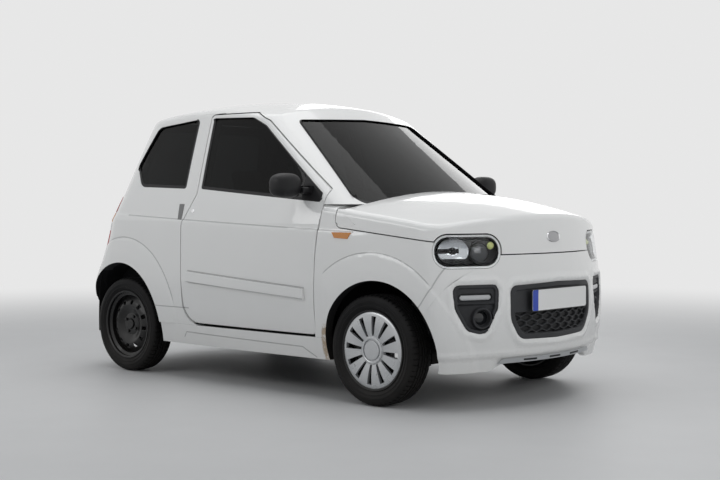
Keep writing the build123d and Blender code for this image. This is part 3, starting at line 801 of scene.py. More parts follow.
# ------------------------------------------------------------------ body shell
@dataclass
class Relief:
    """The pressed lines of the car's sides, as heights over the plain skin.

    Attributes:
        arcs: the lines over the wheels: centre along, centre up and radius.
        rear_flare: how far the skin stands out behind the rear arch.
        shoulder: places along and up on the line below the windows.
        fold, fold_slope: places along and up on the door's fold, and how fast it sinks below.
        lip_height, lip_reach: height and width of the lips round the pods and the grille.
        lip_rise: top, lift, and inner and outer place across, of the front bumper's drawn up middle.
        chin_ridge: place up, half width and height of the ridge on the bumper's lower lip.
        chin_tuck: how far the skin below it lies back, and where that starts and ends.
    """

    arcs: tuple[tuple[float, float, float], ...] = ((0.895, 0.265, 0.465), (-0.985, 0.300, 0.465))
    arc_height: float = 0.010
    rear_flare: float = 0.014
    arc_width: float = 0.014
    shoulder: tuple[tuple[float, float], ...] = (
        (-1.05, 0.895), (-0.86, 0.887), (-0.466, 0.869), (0.09, 0.848),
        (0.57, 0.833), (0.79, 0.818),
    )
    shoulder_height: float = 0.005
    shoulder_width: float = 0.022
    shoulder_fade: float = 0.22
    fold: tuple[tuple[float, float], ...] = ((-0.405, 0.535), (0.550, 0.460))
    fold_slope: float = 0.055
    lip_height: float = 0.0070
    lip_reach: float = 0.045
    lip_low: float = 0.180
    lip_rise: tuple[float, float, float, float] = (0.245, 0.032, 0.330, 0.420)
    chin_ridge: tuple[float, float, float] = (0.264, 0.014, 0.0045)
    chin_tuck: tuple[float, float, float] = (0.006, 0.254, 0.236)

    def side_height(self, node: str, along: float, up: float) -> float:
        """Return how far a side panel stands out at a place, in metres."""
        if node.startswith("door"):
            arc = 0.0
            sunk = self.fold_slope * max(0.0, line_height(self.fold, along) - up)
        else:
            arc = max(self.arc_rise(math.hypot(along - x, up - z), radius) for x, z, radius in self.arcs)
            arc *= smooth_rise(along, 0.575, 0.640) if along > 0.0 else smooth_rise(along, -0.470, -0.540)
            away = math.hypot(along - self.arcs[1][0], up - self.arcs[1][1])
            arc += self.rear_flare * smooth_rise(away, 0.43, 0.36) * smooth_rise(along, -1.180, -1.320)
            sunk = 0.0
        drop = up - line_height(self.shoulder, along)
        edge = smooth_rise(drop, self.shoulder_width / 2, -self.shoulder_width / 2)
        fade = smooth_rise(drop, -self.shoulder_fade, 0.0)
        ends = smooth_rise(along, 0.95, 0.75) * smooth_rise(along, -1.2, -1.0)
        return max(arc, self.shoulder_height * edge * fade * ends) - sunk

    def arc_rise(self, distance: float, radius: float) -> float:
        """Return the height of the panel inside an arc over a wheel."""
        step = smooth_rise(distance, radius + 0.002, radius - self.arc_width)
        return self.arc_height * (0.6 * step + 0.4 * smooth_rise(distance, radius, radius - 0.10))

    def lips(self, places: np.ndarray) -> np.ndarray:
        """Return the soft raised lips of the bumper round its pods and its grille."""
        total = np.zeros(len(places))
        pods, grille = FogLamps(), Grille()
        for bay, corners, folded in ((pods.bay, pods.corners, True), (grille.bay, grille.corners, False)):
            there = places.copy()
            if folded:
                there[:, 1] = np.abs(there[:, 1])
            there -= np.array(bay.origin)
            flat = np.stack([there @ np.array(bay.along), there[:, 2]], axis=1)
            inward, _ = border_distance(flat, rounded_outline(corners))
            near = there @ np.array(bay.out) > -0.16
            for index in np.nonzero((-inward > -0.002) & (-inward < self.lip_reach) & near)[0]:
                away = float(-inward[index])
                rise = smooth_rise(away, 0.0, 0.016) * smooth_rise(away, self.lip_reach, 0.018)
                dip = smooth_rise(away, 0.008, 0.0)
                total[index] += self.lip_height * rise - 0.003 * dip
        return total

    def tuck(self, place: Vector) -> float:
        """Return how far the front bumper's lower middle is drawn up, so that its lip rises there."""
        top, lift, near, far = self.lip_rise
        middle = smooth_rise(abs(place.y), far, near) * smooth_rise(place.x, 1.15, 1.30)
        return lift * middle * max(0.0, min(1.0, (top - place.z) / (top - self.lip_low)))

    def chin(self, up: float) -> float:
        """Return the ridge along the front bumper's lower lip."""
        place, width, height = self.chin_ridge
        back, start, end = self.chin_tuck
        return height * math.exp(-(((up - place) / width) ** 2)) - back * smooth_rise(up, start, end)


@dataclass
class Shell:
    """The painted panels, each with its pressed lines and a lined inside.

    Attributes:
        grid: size of the cells that carry the relief.
        arches: each wheel arch's centre along and up, and its radius.
        corner_back, corner_foot: rear edge of the bonnet's corner, and where it starts to lean.
        corner_front, corner_bend, corner_slope: its front edge, where that bends, and how steeply.
        corner_span, corner_rows: its ends along, and place up and across at each end, row by row.
        side_nodes, plain_nodes: the nodes with and without relief, and the body of each.
    """

    relief: Relief = field(default_factory=Relief)
    grid: float = 0.013
    arches: tuple[tuple[float, float, float], ...] = ((0.921, 0.270, 0.330), (-1.019, 0.270, 0.350))
    corner_back: float = 0.6620
    corner_foot: float = 0.873
    corner_front: float = 0.7045
    corner_bend: float = 0.9185
    corner_slope: float = 0.735
    corner_span: tuple[float, float] = (0.648, 0.704)
    corner_rows: tuple[tuple[float, float, float], ...] = (
        (0.8600, 0.7060, 0.7012),
        (0.8800, 0.7040, 0.6990),
        (0.9000, 0.7010, 0.6970),
        (0.9100, 0.6990, 0.6940),
        (0.9200, 0.6960, 0.6895),
        (0.9300, 0.6905, 0.6805),
        (0.9350, 0.6865, 0.6730),
    )
    side_nodes: dict[str, str] = field(
        default_factory=lambda: {
            "door_left": "door_left",
            "door_right": "door_right",
            "rear_quarter_left": BODY,
            "rear_quarter_right": BODY,
            "front_wing_left": BODY,
            "front_wing_right": BODY,
            "front_bumper": BODY,
            "rear_bumper": BODY,
        }
    )
    plain_nodes: dict[str, str] = field(
        default_factory=lambda: {"roof": BODY, "bonnet": "bonnet", "tailgate": "tailgate", "sills": BODY}
    )

    def looks_in(self, face: Face) -> bool:
        """Return whether a face looks into the car or into a wheel arch."""
        centre = face.calc_center_median()
        for x, z, radius in self.arches:
            if math.hypot(centre.x - x, centre.z - z) < radius + 0.004 and abs(face.normal.y) < 0.5:
                return True
        middle = Vector((min(0.9, max(-0.9, centre.x)), 0.0, min(0.95, max(0.5, centre.z))))
        out = centre - middle
        return face.normal.dot(out.normalized()) < -0.25

    def press(self, node: str, mesh: Mesh) -> None:
        """Cut the outer sides into a fine grid and move it by the relief."""
        front = node == "front_bumper"
        tag = mesh.faces.layers.int.new("outer")
        for face in mesh.faces:
            centre = face.calc_center_median()
            ahead = front and face.normal.x > 0.25 and centre.x > 1.2
            face[tag] = int(ahead or (abs(face.normal.y) > 0.3 and face.normal.y * centre.y > 0.0))
        points = [v.co for f in mesh.faces if f[tag] for v in f.verts]
        for axis in (0, 1, 2) if front else (0, 2):
            low, high = min(p[axis] for p in points), max(p[axis] for p in points)
            normal = [0.0, 0.0, 0.0]
            normal[axis] = 1.0
            for step in range(1, int((high - low) / self.grid) + 1):
                place = [0.0, 0.0, 0.0]
                place[axis] = low + step * self.grid
                faces = [f for f in mesh.faces if f[tag]]
                edges = {e for f in faces for e in f.edges}
                verts = {v for f in faces for v in f.verts}
                bmesh.ops.bisect_plane(
                    mesh, geom=[*verts, *edges, *faces], dist=1e-5, plane_co=place, plane_no=normal
                )
        mesh.normal_update()
        shifts = {}
        for face in mesh.faces:
            if face[tag]:
                for vert in face.verts:
                    shifts.setdefault(vert, Vector())
                    shifts[vert] += face.normal * face.calc_area()
        places = np.array([vert.co[:] for vert in shifts])
        lips = self.relief.lips(places) if front else np.zeros(len(places))
        for (vert, normal), lip in zip(shifts.items(), lips):
            height = self.relief.side_height(node, vert.co.x, vert.co.z) + float(lip)
            if front:
                height += self.relief.chin(vert.co.z)
            else:
                height *= smooth_rise(abs(normal.normalized().y), 0.32, 0.60)
            vert.co += normal.normalized() * height
        if front:
            for vert in mesh.verts:
                vert.co.z += self.relief.tuck(vert.co)
        mesh.faces.layers.int.remove(tag)

    def build(self) -> None:
        """Make every panel."""
        for node, body in {**self.side_nodes, **self.plain_nodes}.items():
            mesh = copy_node(node)
            for face in mesh.faces:
                face.material_index = 1 if self.looks_in(face) else 0
            if node in self.side_nodes:
                self.press(node, mesh)
            inner = Look.UNDER if "bumper" in node or "wing" in node or node == "sills" else Look.LINING
            make_piece(f"{node}_panel", mesh, (Look.PAINT, inner), body, "white_paint", [node])
        for side, sign in SIDES:
            make_piece(f"bonnet_corner_{side}", self.bonnet_corner(sign), Look.PAINT, "bonnet", "white_paint")

    def bonnet_corner(self, sign: float) -> Mesh:
        """Return the bonnet's rear corner, which carries its skin back to the wing.

        Args:
            sign: +1 for the car's left, -1 for its right.

        Returns:
            A closed sheet behind the slanted rear edge of the bonnet's main panel.
        """
        mesh = bmesh.new()
        bmesh.ops.create_grid(mesh, x_segments=8, y_segments=16, size=0.5)
        bottom, top = self.corner_rows[0][0], self.corner_rows[-1][0]
        for vert in mesh.verts:
            across, rise = vert.co.x + 0.5, vert.co.y + 0.5
            up = bottom + (top - bottom) * rise
            back = self.corner_back + 1.2 * max(0.0, self.corner_foot - up)
            front = self.corner_front + max(0.0, self.corner_bend - up) / self.corner_slope
            along = back + (front - back) * across
            near = line_height([(z, y) for z, y, _ in self.corner_rows], up)
            far = line_height([(z, y) for z, _, y in self.corner_rows], up)
            share = (along - self.corner_span[0]) / (self.corner_span[1] - self.corner_span[0])
            vert.co = (along, sign * (near + (far - near) * min(1.0, share)), up)
        bmesh.ops.recalc_face_normals(mesh, faces=mesh.faces)
        mesh.normal_update()
        if sum(face.normal.y for face in mesh.faces) * sign < 0.0:
            bmesh.ops.reverse_faces(mesh, faces=mesh.faces)
        thicken(mesh, 0.003)
        return mesh


@dataclass
class Glazing:
    """The windows with their dark rubber surrounds."""

    band: float = 0.016
    lift: float = 0.0018
    windows: dict[str, str] = field(
        default_factory=lambda: {
            "windscreen": BODY,
            "quarter_glass": BODY,
            "door_glass_left": "door_left",
            "door_glass_right": "door_right",
            "rear_glass": "tailgate",
        }
    )

    def surround(self, node: str, body: str) -> None:
        """Make the band of rubber round one window's outer face."""
        mesh = copy_node(node)
        middle = Vector((-0.2, 0.0, 0.6))
        keep_faces(mesh, lambda f: f.normal.dot((f.calc_center_median() - middle).normalized()) > 0.35)
        rims = list(mesh.faces)
        inset(mesh, rims, self.band, 0.0)
        bmesh.ops.delete(mesh, geom=[f for f in rims if f.is_valid], context="FACES")
        thicken(mesh, -self.lift)
        make_piece(f"{node}_surround", mesh, Look.TRIM, body, "black_plastic")

    def build(self) -> None:
        """Make the panes and their surrounds."""
        for node, body in self.windows.items():
            make_piece(f"{node}_pane", copy_node(node), Look.GLASS, body, "dark_glass", [node])
            self.surround(node, body)
        make_piece("opening_seals", copy_node("body_seals"), Look.SEAL, BODY, "seal", ["body_seals"])


# ------------------------------------------------------------------ wheels
@dataclass
class Wheels:
    """Tyres, pressed steel wheels, front covers, rear brake plates and the housings behind them.

    Attributes:
        ends: each axle's name, place along and how far its wheels are turned at rest.
        tub_size: a rear housing's centre along and up, radius, inner and outer place across.
        tub_cut: a place along and across where its rear outer corner is cut off, and how the cut faces.
        brake_plate: radius and depth of a rear brake plate, and how far it lies in from the wheel.
        bolts: how many, how far from the axle, radius, depth and first angle.
        shoulder_band, rib_band: least radius, and inner and outer place across, of the grooved tread.
        vent_band, slot_band: inner and outer radius of the vent holes and of the cover's slots.
        half_tyre: the section's outer half, as radius and place across.
    """

    ends: tuple[tuple[str, float, float], ...] = (("front", 0.891, 0.35), ("rear", -1.001, 0.9))
    across: float = 0.6315
    axle_z: float = 0.2665
    steps: int = 300
    groove_pitch: int = 5
    tub_size: tuple[float, float, float, float, float] = (-1.019, 0.270, 0.353, 0.518, 0.690)
    tub_cut: tuple[float, float, float, float] = (-1.372, 0.615, -0.5, 0.866)
    brake_plate: tuple[float, float, float] = (0.142, 0.010, 0.042)
    bolts: tuple[int, float, float, float, float] = (4, 0.049, 0.0095, 0.010, 0.4)
    centre_steps: int = 96
    cover_sectors: int = 12
    sector_steps: int = 12
    shoulder_band: tuple[float, float, float] = (0.2555, 0.0350, 0.0645)
    rib_band: tuple[float, float, float] = (0.2650, 0.0135, 0.0255)
    vent_band: tuple[float, float] = (0.114, 0.140)
    slot_band: tuple[float, float] = (0.069, 0.164)
    half_tyre: tuple[tuple[float, float], ...] = (
        (0.1866, 0.0480), (0.1868, 0.0556), (0.1940, 0.0588), (0.1990, 0.0632),
        (0.2080, 0.0682), (0.2120, 0.0704), (0.2145, 0.0704), (0.2160, 0.0692),
        (0.2250, 0.0712), (0.2290, 0.0724), (0.2320, 0.0724), (0.2340, 0.0706),
        (0.2430, 0.0700), (0.2510, 0.0672), (0.2570, 0.0632), (0.2612, 0.0580),
        (0.2636, 0.0520), (0.2650, 0.0440), (0.2656, 0.0345), (0.2650, 0.0335),
        (0.2590, 0.0328), (0.2590, 0.0275), (0.2652, 0.0268), (0.2658, 0.0258),
        (0.2662, 0.0130), (0.2656, 0.0120), (0.2594, 0.0112), (0.2594, 0.0058),
        (0.2658, 0.0050), (0.2664, 0.0040),
    )

    def tyre(self) -> Mesh:
        """Turn a tyre and press the grooves into its shoulders."""
        other = [(radius, -across) for radius, across in reversed(self.half_tyre)]
        mesh = turned([*self.half_tyre, *other], self.steps, True)
        grooves = []
        for face in mesh.faces:
            radius, step = polar(face, self.steps)
            across = face.calc_center_median().y
            low_step = 2 if across > 0.0 else 0
            on_shoulder, on_rib = (
                radius > least and inner < abs(across) < outer
                for least, inner, outer in (self.shoulder_band, self.rib_band)
            )
            if (on_shoulder and step % self.groove_pitch == low_step) or (
                on_rib and step % (2 * self.groove_pitch) == low_step + 3
            ):
                grooves.append(face)
        inset(mesh, grooves, 0.0008, -0.0045)
        return mesh

    def barrel(self) -> Mesh:
        """Turn the rim that carries the tyre."""
        section = (
            (0.1925, 0.0638), (0.1928, 0.0612), (0.1868, 0.0590), (0.1850, 0.0560),
            (0.1848, 0.0440), (0.1700, 0.0370), (0.1690, -0.0200), (0.1846, -0.0300),
            (0.1850, -0.0560), (0.1868, -0.0590), (0.1928, -0.0612), (0.1925, -0.0638),
            (0.1858, -0.0630), (0.1822, -0.0590), (0.1815, -0.0330), (0.1655, -0.0230),
            (0.1662, 0.0390), (0.1812, 0.0470), (0.1822, 0.0600), (0.1858, 0.0630),
        )
        return turned(section, self.centre_steps, True)

    def centre(self) -> Mesh:
        """Turn the pressed centre, with its vent holes, bolts and hub."""
        section = (
            (0.0270, 0.0200), (0.0300, 0.0300), (0.0560, 0.0300), (0.0620, 0.0270),
            (0.0780, 0.0310), (0.0960, 0.0420), (0.1080, 0.0452), (0.1140, 0.0452),
            (0.1230, 0.0430), (0.1320, 0.0392), (0.1400, 0.0330), (0.1560, 0.0210),
            (0.1652, 0.0180),
        )
        mesh = turned(section, self.centre_steps, False)
        holes = []
        for face in mesh.faces:
            radius, step = polar(face, self.centre_steps)
            if self.vent_band[0] < radius < self.vent_band[1] and step % 8 in (2, 3, 4):
                holes.append(face)
        inset(mesh, holes, 0.0015, -0.003)
        edges = [edge for face in holes for edge in face.edges if set(edge.link_faces) - set(holes)]
        rims = {vert for edge in edges for vert in edge.verts}
        bmesh.ops.smooth_vert(
            mesh, verts=list(rims), factor=0.5, use_axis_x=True, use_axis_y=True, use_axis_z=True
        )
        bmesh.ops.delete(mesh, geom=holes, context="FACES")
        thicken(mesh, 0.0034)
        parts = [mesh]
        count, circle, size, depth, first = self.bolts
        for index in range(count):
            angle = math.tau * index / count + first
            place = (circle * math.cos(angle), 0.0340, circle * math.sin(angle))
            parts.append(rounded(disc(place, size, depth, AXLE, 6), 0.0012, 2))
        parts.append(rounded(disc((0.0, 0.0240, 0.0), 0.0262, 0.028, AXLE, 36), 0.004, 3))
        return joined(parts)

    def cover(self) -> Mesh:
        """Turn a wheel cover and cut its twelve tapered slots."""
        section = (
            (0.0, 0.0688), (0.0300, 0.0690), (0.0440, 0.0684), (0.0465, 0.0660),
            (0.0475, 0.0610), (0.0515, 0.0608), (0.0530, 0.0668), (0.0560, 0.0684),
            (0.0620, 0.0684), (0.0650, 0.0664), (0.0665, 0.0618), (0.0700, 0.0612),
            (0.0790, 0.0640), (0.1000, 0.0662), (0.1250, 0.0676), (0.1480, 0.0672),
            (0.1640, 0.0658), (0.1720, 0.0645), (0.1790, 0.0628), (0.1825, 0.0600),
            (0.1830, 0.0560),
        )
        total = self.cover_sectors * self.sector_steps
        mesh = turned(section, total, False)
        slots = []
        for face in mesh.faces:
            radius, step = polar(face, total)
            in_band = self.slot_band[0] < radius < self.slot_band[1]
            if in_band and step % self.sector_steps in (4, 5, 6, 7):
                slots.append(face)
        for _ in range(2):
            inset(mesh, slots, 0.0003, -0.0070)
        bmesh.ops.delete(mesh, geom=slots, context="FACES")
        thicken(mesh, 0.0016)
        return mesh

    def tub(self, sign: float) -> Mesh:
        """Return the housing that closes a rear wheel off from the boot."""
        x, z, radius, inner, outer = self.tub_size
        mesh = disc((x, sign * (inner + outer) / 2, z), radius, outer - inner, AXLE, 96)
        cut_away(mesh, (0.0, 0.0, 0.20), (0.0, 0.0, -1.0))
        keep_faces(mesh, lambda f: f.normal.y * sign < 0.5)
        along, across, back, out = self.tub_cut
        cut_away(mesh, (along, sign * across, 0.0), (back, sign * out, 0.0))
        thicken(mesh, -0.003)
        return mesh

    def build(self) -> None:
        """Make four wheels, with covers on the front pair and brake plates behind the rear pair."""
        radius, depth, inboard = self.brake_plate
        for end, x, roll in self.ends:
            for side, sign in SIDES:
                wheel = joined([self.barrel(), self.centre()])
                pieces = [
                    ("tyre_tread", self.tyre(), Look.RUBBER, "tyre", f"tyre_{end}_{side}"),
                    ("steel_wheel", wheel, Look.STEEL, "black_steel", f"rim_{end}_{side}"),
                ]
                if end == "front":
                    cover = f"wheel_cover_{side}"
                    pieces.append(("slotted_cover", self.cover(), Look.SILVER, "silver_plastic", cover))
                else:
                    plate = rounded(disc((0.0, 0.0, 0.0), radius, depth, AXLE, 64), 0.003, 2)
                    moved(plate, (x, sign * (self.across - inboard), self.axle_z))
                    make_piece(f"brake_plate_{side}", plate, Look.CAST, slot="chassis_steel")
                    make_piece(f"wheel_tub_{side}", self.tub(sign), Look.UNDER, slot="chassis_steel")
                place, lay = (x, sign * self.across, self.axle_z), Matrix.Rotation(roll, 3, "Y")
                for name, mesh, look, slot, node in pieces:
                    mesh = moved(on_side(mesh, sign), place, lay)
                    make_piece(f"{name}_{end}_{side}", mesh, look, f"wheel_{end}_{side}", slot, [node], 28.0)


# ------------------------------------------------------------------ lamps in the nose
@dataclass(frozen=True)
class Bay:
    """A tilted plane in the left front corner: along it, up it and out of it."""

    origin: Point
    along: Point
    out: Point

    def turn(self, sign: float) -> Matrix:
        """Return the turn from the plane's own axes to the car's, for a side."""
        along = Vector((self.along[0], sign * self.along[1], self.along[2]))
        out = Vector((self.out[0], sign * self.out[1], self.out[2]))
        up = Vector((0.0, 0.0, 1.0))
        return Matrix((along, up, out)).transposed()


def one_side(mesh: Mesh, sign: float) -> None:
    """Keep the part of a mesh on one side of the car."""
    keep_faces(mesh, lambda f: f.calc_center_median().y * sign > 0.0)


def ball(centre: Point, radius: float, squash: Point = (1.0, 1.0, 1.0)) -> Mesh:
    """Return a squashed ball."""
    mesh = bmesh.new()
    place = Matrix.Translation(centre) @ Matrix.Diagonal((*squash, 1.0))
    bmesh.ops.create_uvsphere(mesh, u_segments=32, v_segments=20, radius=radius, matrix=place)
    return mesh


def ring(radius: float, thickness: float, height: float = 0.0) -> Mesh:
    """Return a round ring that lies in the XY plane at a height."""
    angles = [index * math.tau / 12 for index in range(12)]
    points = [(radius + thickness * math.cos(a), height + thickness * math.sin(a)) for a in angles]
    mesh = turned(points, 56, True)
    bmesh.ops.transform(mesh, matrix=Matrix.Rotation(math.pi / 2, 4, "X"), verts=mesh.verts)
    return mesh


class Skin:
    """Finds places on the CAD's outer surfaces."""

    def __init__(self, *nodes: str) -> None:
        """Gather the nodes to look for."""
        self.trees = []
        for node in nodes:
            data = frame["nodes"][node].data
            polygons = [tuple(p.vertices) for p in data.polygons]
            self.trees.append(BVHTree.FromPolygons([v.co.copy() for v in data.vertices], polygons))

    def hit(self, start: Point, aim: Point) -> tuple[Vector, Vector]:
        """Return the nearest place and normal that a ray meets."""
        hits = [tree.ray_cast(Vector(start), Vector(aim).normalized()) for tree in self.trees]
        met = [(far, place, normal) for place, normal, _, far in hits if place is not None]
        if not met:
            raise ValueError(f"no surface from {start} towards {aim}")
        _, place, normal = min(met, key=lambda found: found[0])
        return place, normal


# ------------------------------------------------------------------ pressed fields
Flat = tuple[float, float]


def rounded_outline(corners: Sequence[tuple[float, float, float]], steps: int = 8) -> list[Flat]:
    """Return an outline through corners given with their radii.

    Args:
        corners: across, up and radius of each corner, in order round the shape.
        steps: pieces in each rounded corner.

    Returns:
        The points of the outline.
    """
    points: list[Flat] = []
    for index, (u, v, radius) in enumerate(corners):
        corner = Vector((u, v))
        before = Vector(corners[index - 1][:2]) - corner
        after = Vector(corners[(index + 1) % len(corners)][:2]) - corner
        half = before.angle(after) / 2.0
        reach = min(radius / math.tan(half), before.length * 0.49, after.length * 0.49)
        start, end = corner + before.normalized() * reach, corner + after.normalized() * reach
        inward = (before.normalized() + after.normalized()).normalized()
        middle = corner + inward * (reach / math.cos(half))
        sweep = (start - middle).angle(end - middle)
        for step in range(steps + 1):
            turn = sweep * step / steps
            bend = (start - middle) * math.sin(sweep - turn) + (end - middle) * math.sin(turn)
            points.append(tuple(middle + bend / math.sin(sweep)))
    return points


def border_distance(places: np.ndarray, outline: Sequence[Flat]) -> tuple[np.ndarray, np.ndarray]:
    """Measure how far places lie inside an outline.

    Args:
        places: the places, one row each.
        outline: the closed outline.

    Returns:
        The distance of each, positive inside, and the nearest place on the outline.
    """
    best = np.full(len(places), 1e9)
    nearest = np.zeros_like(places)
    inside = np.zeros(len(places), dtype=bool)
    ends = np.array(outline)
    for a, b in zip(ends, np.roll(ends, -1, axis=0)):
        run = b - a
        length = float(run @ run)
        if length < 1e-14:
            continue
        t = np.clip((places - a) @ run / length, 0.0, 1.0)
        foot = a + t[:, None] * run
        far = np.hypot(*(places - foot).T)
        closer = far < best
        best = np.where(closer, far, best)
        nearest[closer] = foot[closer]
        if a[1] != b[1]:
            spans = (a[1] > places[:, 1]) != (b[1] > places[:, 1])
            cross = a[0] + (places[:, 1] - a[1]) * run[0] / (b[1] - a[1])
            inside ^= spans & (places[:, 0] < cross)
    return np.where(inside, best, -best), nearest


def border_step(inward: float) -> float:
    """Return the small step down at a field's border."""
    return -0.0025 * (1.0 - smooth_rise(inward, 0.0, 0.004))


Relief2D = Callable[[float, float, float], float]
Choice = Callable[[float, float, float], int]


@dataclass
class Field:
    """A fine grid laid on a panel's skin inside an outline, pressed into a form.

    Attributes:
        bay: the plane that the outline is drawn on.
        outline: the closed outline in that plane.
        nodes: the CAD nodes whose skin it follows.
        pitch: size of its cells.
        wall: how far its border is carried back.
        base: height of the skin over the plane, where the nodes are not to be followed.
    """

    bay: Bay
    outline: list[Flat]
    nodes: tuple[str, ...]
    pitch: float = 0.0025
    wall: float = 0.012
    base: Optional[Callable[[float, float], float]] = None

    @staticmethod
    def depth_at(skin: Skin, spot: Vector, centre: Vector, origin: Vector, turn: Matrix) -> float:
        """Return the skin's height over the plane, from just inside the spot at a border."""
        out = turn.col[2]
        for pull in (0.0, 0.006, 0.012, 0.02, 0.04, 0.08, 0.15, 0.3):
            try:
                hit, _ = skin.hit(origin + turn @ spot.lerp(centre, pull) + out * 0.3, -out)
            except ValueError:
                continue
            return (hit - origin).dot(out)
        raise ValueError(f"no skin near {tuple(spot)}")

    def build(self, sign: float, relief: Relief2D, choose: Optional[Choice] = None) -> Mesh:
        """Lay the grid and press it.

        Args:
            sign: +1 for the car's left, -1 for its right.
            relief: height over the skin from across, up and distance to the border.
            choose: material index from the same values.

        Returns:
            The closed mesh.
        """
        ends = np.array(self.outline)
        low, high = ends.min(axis=0) - self.pitch, ends.max(axis=0) + self.pitch
        size, middle = high - low, (high + low) / 2
        counts = np.ceil(size / self.pitch).astype(int)
        mesh = bmesh.new()
        place = Matrix.Translation((*middle, 0.0)) @ Matrix.Diagonal((*size, 1.0, 1.0))
        bmesh.ops.create_grid(
            mesh, x_segments=int(counts[0]), y_segments=int(counts[1]), size=0.5, matrix=place
        )
        flat = np.array([vert.co.xy[:] for vert in mesh.verts])
        inner, nearest = border_distance(flat, self.outline)
        mesh.verts.index_update()
        outside = [face for face in mesh.faces if all(inner[vert.index] <= 0.0 for vert in face.verts)]
        depth_of = {vert: max(0.0, float(inner[vert.index])) for vert in mesh.verts}
        for vert in mesh.verts:
            if inner[vert.index] <= 0.0:
                vert.co.x, vert.co.y = nearest[vert.index]
        bmesh.ops.delete(mesh, geom=outside, context="FACES")
        if choose:
            for face in mesh.faces:
                centre = face.calc_center_median()
                inward = sum(depth_of[vert] for vert in face.verts) / len(face.verts)
                face.material_index = choose(centre.x, centre.y, inward)
        turn = self.bay.turn(sign)
        origin = Vector((self.bay.origin[0], sign * self.bay.origin[1], self.bay.origin[2]))
        out = turn.col[2]
        skin = Skin(*self.nodes)
        centre = Vector((*middle, 0.0))
        for vert in mesh.verts:
            height = relief(vert.co.x, vert.co.y, depth_of[vert])
            if self.base:
                base = self.base(vert.co.x, vert.co.y)
            else:
                base = self.depth_at(skin, vert.co, centre, origin, turn)
            vert.co = origin + turn @ vert.co + out * (base + height)
        border = [edge for edge in mesh.edges if edge.is_boundary]
        grown = bmesh.ops.extrude_edge_only(mesh, edges=border)["geom"]
        back = [item for item in grown if isinstance(item, bmesh.types.BMVert)]
        bmesh.ops.translate(mesh, vec=-out * self.wall, verts=back)
        rim = [edge for edge in grown if isinstance(edge, bmesh.types.BMEdge) and edge.is_boundary]
        bmesh.ops.contextual_create(mesh, geom=rim)
        outward(mesh)
        return mesh


